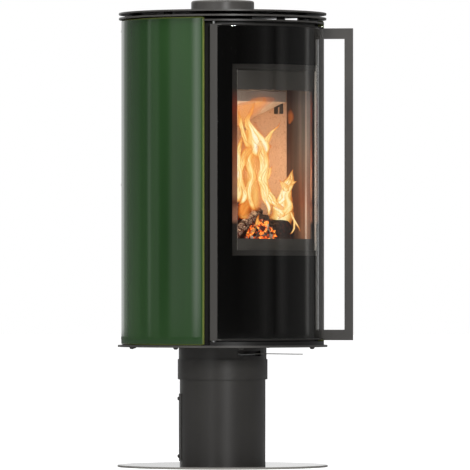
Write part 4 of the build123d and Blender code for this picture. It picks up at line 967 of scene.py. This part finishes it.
# Each flame: its name, its depth, its heat, the strands in it, and (right, up, width) from foot to tip.
FLAMES = (
    ("left", -64.0, 1.0, 3, ((36, 629, 15), (39, 657, 19), (38, 688, 16), (37, 719, 13), (38, 744, 12),
        (42, 769, 12), (46, 787, 3))),
    ("left_top", -60.0, 0.8, 3, ((62, 756, 18), (53, 781, 15), (46, 803, 12), (41, 828, 7), (38, 850, 1))),
    ("heart", -52.0, 1.0, 6, ((93, 731, 27), (87, 750, 52), (82, 767, 55), (75, 784, 42), (68, 800, 27),
        (62, 812, 18), (59, 826, 13), (66, 839, 11), (72, 853, 7), (77, 869, 1))),
    ("branch", -58.0, 0.8, 3, ((93, 750, 12), (103, 772, 18), (111, 786, 14), (119, 797, 9), (130, 808, 4),
        (137, 819, 1))),
    ("middle_left", -56.0, 0.9, 3, ((43, 623, 15), (53, 644, 18), (47, 669, 14), (42, 694, 13),
        (47, 719, 15), (52, 738, 21), (62, 756, 24), (68, 769, 6))),
    ("middle", -50.0, 0.8, 3, ((75, 610, 12), (65, 635, 16), (62, 663, 14), (71, 688, 17), (63, 713, 20),
        (59, 731, 24), (69, 753, 27), (74, 769, 6))),
    ("centre", -66.0, 1.0, 4, ((111, 596, 3), (108, 619, 12), (100, 641, 19), (97, 666, 25), (94, 688, 29),
        (99, 707, 25), (98, 725, 25), (94, 744, 27), (90, 763, 18), (89, 775, 3))),
    ("side", -60.0, 0.65, 2, ((106, 682, 9), (111, 697, 9), (114, 708, 6), (120, 714, 1))),
    ("bridge", -62.0, 0.95, 3, ((99, 675, 12), (104, 657, 21), (112, 641, 24), (120, 629, 24),
        (130, 619, 27), (141, 610, 12))),
    ("right", -22.0, 1.0, 6, ((138, 570, 50), (140, 590, 54), (142, 606, 52), (144, 624, 48),
        (148, 642, 32), (152, 660, 25), (156, 676, 28), (160, 686, 18), (164, 698, 8), (167, 707, 1))),
    ("right_ear", -62.0, 0.75, 3, ((151, 654, 15), (147, 666, 17), (141, 675, 10), (133, 682, 2))),
    ("right_fin", -64.0, 0.7, 2, ((156, 666, 12), (165, 672, 12), (171, 677, 8), (178, 678, 1))),
    ("lick_near", -72.0, 0.85, 2, ((161, 607, 4), (165, 595, 7), (171, 584, 6), (178, 571, 5),
        (185, 558, 1))),
    ("lick_far", -78.0, 0.8, 2, ((164, 598, 3), (169, 582, 5), (169, 568, 5), (165, 557, 4),
        (161, 552, 1))),
    ("log_end", -84.0, 0.4, 3, ((52, 588, 21), (50, 601, 36), (51, 616, 33), (57, 628, 18), (62, 638, 3))),
    ("veil", -40.0, 0.42, 0, ((71, 607, 36), (71, 644, 64), (71, 688, 76), (72, 725, 76), (75, 763, 67),
        (78, 794, 36), (77, 819, 9))),
    ("roof", -44.0, 0.36, 0, ((43, 806, 18), (46, 825, 46), (56, 843, 70), (68, 861, 88), (84, 873, 82),
        (104, 879, 36))),
    ("apart", -66.0, 0.15, 0, ((158, 813, 4), (161, 826, 17), (162, 837, 17), (160, 850, 5))),
    ("ember", -84.0, 0.5, 3, ((89, 548, 18), (86, 563, 17), (82, 577, 12), (83, 590, 7), (86, 601, 2))),
    ("ember_left", -86.0, 0.45, 2, ((63, 546, 21), (71, 557, 15), (78, 567, 9), (83, 573, 2))),
)

FLAME_STEPS, FLAME_SECTION = 36, 14
FLAME_DEPTH_SHARE = 0.32  # a tongue's thickness against its width
LEAST_WIDTH = 0.6
EDGE_POWER = 1.6  # how fast a tongue cools towards its edges
BODY_RIM = 0.12  # its heat at the edges, against its spine's
FLUTTER, FLUTTER_LENGTH = 2.2, 16.0  # how far it wavers across the view, and over what height
SWAY, SWAY_LENGTH = 5.0, 40.0  # the same, towards the glass and back
FRINGE, FRINGE_LENGTH = 0.28, 14.0  # how far its edge frays, as a share of its width
# Each of these is a straight line, as its rise and its start, over a share of a tongue or a random number.
FOOT_HEAT, TIP_HEAT = (9.0, 0.25), (2.4, 0.15)  # a tongue's heat, up from its foot and down from its tip
STRAND_FOOT, STRAND_TIP = (5.0, 0.15), (2.2, 0.05)  # a strand's width, in the same way
STRAND_START, STRAND_END = (0.3, 0.0), (0.26, 0.72)  # where it begins and ends in its tongue
STRAND_HEAT = (0.4, 0.65)  # against its tongue's
STRAND_FORWARD = (3.0, 6.0)  # how far it lies before its tongue's middle
STRAND_STATIONS = 14
STRAND_SHARE = 0.36  # a strand's width against its tongue's
STRAND_THICKNESS = 0.6  # and its thickness
STRAND_RIM = 0.42  # a strand's heat at its edges, which melt into its tongue
STRAND_WANDER, WANDER_LENGTH = 0.8, 34.0
LANE_SHARE = 0.9  # how much of the width the strands' lanes take up
STRAND_LEAST_WIDTH = 0.8


def line(rise_and_start, share):
    """The height of a straight line at a share of its run."""
    rise, start = rise_and_start
    return rise * share + start


def smooth_between(points, share):
    """A point on a smooth line through a flame's points, with its width."""
    reach = share * (len(points) - 1)
    here = min(int(reach), len(points) - 2)
    t = reach - here
    four = [points[min(max(here + step, 0), len(points) - 1)] for step in (-1, 0, 1, 2)]
    return [
        0.5 * (2 * b + (c - a) * t + (2 * a - 5 * b + 4 * c - d) * t ** 2 + (3 * b - a - 3 * c + d) * t ** 3)
        for a, b, c, d in zip(*four)
    ]


def flame_tongue(name, depth, heat_and_firelight, points, thick=1.0, rim=BODY_RIM):
    """A lens-shaped tongue of flame: hottest along its spine, cooling to its edges, its foot and its tip."""
    seed = Vector((depth, points[0][0], points[-1][1]))
    rings = []
    warmth = []
    for step in range(FLAME_STEPS + 1):
        share = step / FLAME_STEPS
        across, height, width = smooth_between(points, share)
        width = max(width, LEAST_WIDTH)
        flutter = FLUTTER * noise.noise(Vector((0.0, 0.0, height / FLUTTER_LENGTH)) + seed)
        sway = SWAY * noise.noise(Vector((height / SWAY_LENGTH, 0.0, 0.0)) + seed)
        ends = min(1.0, line(FOOT_HEAT, share), line(TIP_HEAT, 1.0 - share))
        ring = []
        for a in turns(FLAME_SECTION):
            fringe = 1.0 + FRINGE * noise.noise(Vector((cos(a), sin(a), height / FRINGE_LENGTH)) + seed)
            flat = cos(a) * width / 2 * fringe
            deep = sin(a) * width / 2 * FLAME_DEPTH_SHARE * thick
            ring.append(spot(across + flutter + flat, depth + sway + deep, height))
            edge = 1.0 - abs(cos(a)) ** EDGE_POWER
            warmth.append(heat_and_firelight * (rim + (1.0 - rim) * edge) * ends)
        rings.append(ring)
    return loft(name, rings, values={"warmth": warmth})


def flame_strands(name, depth, heat_and_firelight, points, count):
    """Thin bright strands that wander up inside a tongue of flame."""
    strands = []
    for strand in range(count):
        seed = Vector((strand * 7.3, depth * 0.37, points[0][1] * 0.11))
        pick = [0.5 + 0.5 * noise.noise(seed + Vector((0.0, 0.0, part * 9.1))) for part in range(3)]
        first, last = line(STRAND_START, pick[0]), line(STRAND_END, pick[1])
        lane = (strand + 0.5) / count - 0.5
        path = []
        for step in range(STRAND_STATIONS):
            run = step / (STRAND_STATIONS - 1)
            across, height, width = smooth_between(points, first + (last - first) * run)
            wander = STRAND_WANDER * noise.noise(seed + Vector((height / WANDER_LENGTH, 0.0, 0.0)))
            taper = min(1.0, line(STRAND_FOOT, run)) * min(1.0, line(STRAND_TIP, 1.0 - run))
            room = width * (1.0 - STRAND_SHARE)
            path.append((across + room * max(-0.5, min(0.5, LANE_SHARE * lane + wander)), height,
                         max(STRAND_LEAST_WIDTH, width * STRAND_SHARE * taper)))
        forward = line(STRAND_FORWARD, pick[2]) + strand
        warmth = heat_and_firelight * line(STRAND_HEAT, pick[2])
        strands.append(flame_tongue(name, depth - forward, warmth, path, STRAND_THICKNESS, STRAND_RIM))
    return strands


def flames(material):
    for name, depth, heat_and_firelight, strands, points in FLAMES:
        tongues = [flame_tongue(name, depth, heat_and_firelight, points)]
        tongues += flame_strands(name, depth, heat_and_firelight, points, strands)
        piece(f"flame_{name}", join(f"flame_{name}", tongues), material, "stove", "log_wood")


# ---- studio

FLOOR_RADIUS = 40.0  # metres, as all the studio's sizes are
STAGE_MIDDLE = Vector((0.0, 0.0, 0.55))


def studio_floor():
    """A plain pale floor: paper white to the camera, greyer to the stove, so that little light comes up."""
    made, node = surface("studio_floor", Base_Color="#9a9a9a", Roughness=0.9)[:2]
    lift = node("Emission", "#ffffff", 1.0)
    off = node("Emission", "#000000", 0.0)
    looked_at = node("LightPath").outputs["Is Camera Ray"]
    seen = node("MixShader", looked_at, off, lift)
    node("AddShader", made.node_tree.nodes[SHADER], seen, to="Surface")
    shape = bmesh.new()
    bmesh.ops.create_circle(shape, cap_ends=True, segments=96, radius=FLOOR_RADIUS)
    mesh = mesh_of("studio_floor", shape)
    mesh.materials.append(made)
    placed("studio_floor", mesh)


# The ring of soft boxes and dark screens round the stove: (degrees to the camera's right, light level).
# A white backdrop closes it behind the stove.
RING = (
    (-180, 0.8), (-153, 1.0), (-149, 0.5), (-142, 0.45), (-137, 0.25), (-112, 0.2), (-106, 0.1),
    (-96, 0.1), (-92, 0.75), (-88, 0.3), (-79, 0.3), (-75, 0.03), (-66, 0.03), (-59, 0.55),
    (-36, 0.4), (-30, 2.4), (-24, 0.8), (-20, 0.05), (18, 0.03), (40, 0.07), (50, 0.14),
    (62, 0.05), (71, 0.2), (82, 0.1), (109, 0.12), (114, 0.55), (118, 0.18), (137, 0.1), (139.8, 1.5),
    (142.5, 0.16), (166, 0.1), (173, 0.9),
)


def studio_world():
    """White behind everything the camera sees; the ring of lights for all that the surfaces mirror."""
    world = bpy.data.worlds.new("studio")
    bpy.context.scene.world = world
    world.use_nodes = True
    world.node_tree.nodes.clear()
    node = partial(add, world.node_tree)
    place = node("TexCoord").outputs["Generated"]
    turned = node("Mapping", place, Rotation=(0.0, 0.0, radians(90 - VIEW_AZIMUTH)))
    round_about = node("TexGradient", turned, gradient_type="RADIAL").outputs["Fac"]
    ring = node("ValToRGB", round_about, stops=[((angle + 180) / 360, level) for angle, level in RING])
    mirrored = node("Background", ring, Strength=1.0)
    seen = node("Background", "#ffffff", Strength=1.0)
    looked_at = node("LightPath").outputs["Is Camera Ray"]
    both = node("MixShader", looked_at, mirrored, seen)
    node("OutputWorld", both)


def aimed(place, target):
    return (target - place).to_track_quat("-Z", "Y").to_euler()


def studio_place(angle, elevation, distance):
    """A place round the stove's middle, by its angles to the right of the camera and up, and its distance."""
    turn = radians(angle)
    flat = BACK * cos(turn) + ACROSS * sin(turn)
    return STAGE_MIDDLE + (flat * cos(radians(elevation)) + UP * sin(radians(elevation))) * distance


# Soft boxes that look at the stove's middle: name, place, watts, size, and whether surfaces mirror them.
AREA_LAMPS = (
    ("key", studio_place(12, 14, 10.0), 270.0, (0.9, 1.6), True),
    ("overhead", Vector((0.0, 0.0, 3.4)) + BACK * 0.5, 125.0, (1.8, 1.8), False),
)
# The fire's own light, from two small points among the flames: name, place, watts, colour, radius.
FIRE_LAMPS = (
    ("fire_glow", spot(40, -40, 700), 0.8, "#ffd1a5", 0.05),
    ("fire_glow_front", spot(60, -140, 690), 0.32, "#ffeadb", 0.04),
)


def lamp(name, kind, place, power):
    """A lamp that the camera doesn't see: its light and its object."""
    made = bpy.data.lights.new(name, kind)
    made.energy = power
    shown = placed(name, made)
    shown.location = place
    shown.visible_camera = False
    return made, shown


def studio_lights():
    for name, place, power, size, mirrored in AREA_LAMPS:
        made, shown = lamp(name, "AREA", place, power)
        made.shape = "RECTANGLE"
        made.size, made.size_y = size
        shown.rotation_euler = aimed(place, STAGE_MIDDLE)
        shown.visible_glossy = mirrored
    for name, place, power, colour, radius in FIRE_LAMPS:
        made, shown = lamp(name, "POINT", place, power)
        made.color = linear(colour)[:3]
        made.shadow_soft_size = radius


def camera():
    made = bpy.data.cameras.new("camera")
    made.lens = LENS
    made.sensor_width = SENSOR
    made.clip_end = 200.0
    shown = placed("camera", made)
    shown.location = BACK * CAMERA_DISTANCE + UP * CAMERA_HEIGHT
    shown.rotation_euler = aimed(shown.location, ACROSS * AIM_ACROSS + UP * AIM_HEIGHT)
    bpy.context.scene.camera = shown


# ---- dressing the stove

PEDESTAL_NODES = ("pedestal_tube", "pedestal_rear_cover", "neck_tube", "swivel_collar")


def paint_nodes():
    """Gives each CAD node the finish of its slot, or its own."""
    finishes = {
        "steel_paint": stove_paint("stove_paint", LIT_BODY_PAINT), "black_steel": plain["black_steel"],
        "bare_steel": plain["zinc_plated_steel"], "stainless": plain["ground_stainless"],
        "brass": plain["dull_brass"], "cast_iron": plain["cast_iron"], "fibre_rope": plain["fibre_rope"],
        "ceramic_glaze": green_glaze(), "log_wood": charred_wood(),
        # ceramic glass, clear and faintly warm
        "glass_ceramic": clear_sheet("ceramic_glass", "#fbfaf8", roughness=0.02, ior=1.53),
        "vermiculite": vermiculite("vermiculite_board", ("#cdb29d", "#e0cab8", "#b59a87"), "#7d6455"),
    }
    for made in nodes.values():
        for place in made.material_slots:
            place.material = finishes[place.material.name]
    own = {
        "base_plate": plate_paint(),
        "lower_front_rail": stove_paint("rail_paint", RAIL_PAINT),
        # the front frame's outside in dark paint: painted shade in the recess between panel and door
        "front_frame": fireside_paint("front_frame_paint", "#242221", "#474542", "#474542", 0.8, 0.42),
        # the door's cut edges near white: bare steel with a painted highlight
        "door_frame": fireside_paint("door_paint", "#4d4b48", "#2e2c2a", "#e4e1dc", 0.35, 0.8),
        # the baffle's board: a lighter, cooler copy, painted studio light on its face
        "baffle_plate": vermiculite("lit_baffle_board", ("#ece6e0", "#f6f2ee", "#ddd6cf"), "#a89c92"),
        "firebox_jambs": scorched_steel(),
        "firebox_shell": plain["ash_filmed_steel"],
    }
    own.update(dict.fromkeys(PEDESTAL_NODES, stove_paint("pedestal_paint", PEDESTAL_PAINT)))
    for node, material in own.items():
        nodes[node].material_slots[0].material = material
    return finishes


finish = paint_nodes()
ceramic_panels(finish["ceramic_glaze"])
door_pane(finish["glass_ceramic"])
print_sheet(plain["black_enamel"])
# the pane's heat-reflecting coat: colourless, mirrors far more than bare glass at a glancing view
coat_sheet(clear_sheet("heat_coat", "#ffffff", roughness=0.03, ior=2.0))
door_soft_parts(finish["fibre_rope"])
felt(finish["fibre_rope"])
screws(finish["steel_paint"])
firewood(finish["log_wood"])
heap = ash_heap(plain["wood_ash"])
embers(live_embers(), heap)
flames(flame())
studio_floor()
studio_world()
studio_lights()
camera()
bpy.context.scene.view_settings.view_transform = "Standard"
bpy.context.scene.cycles.transparent_max_bounces = 32  # the flames lie many layers deep
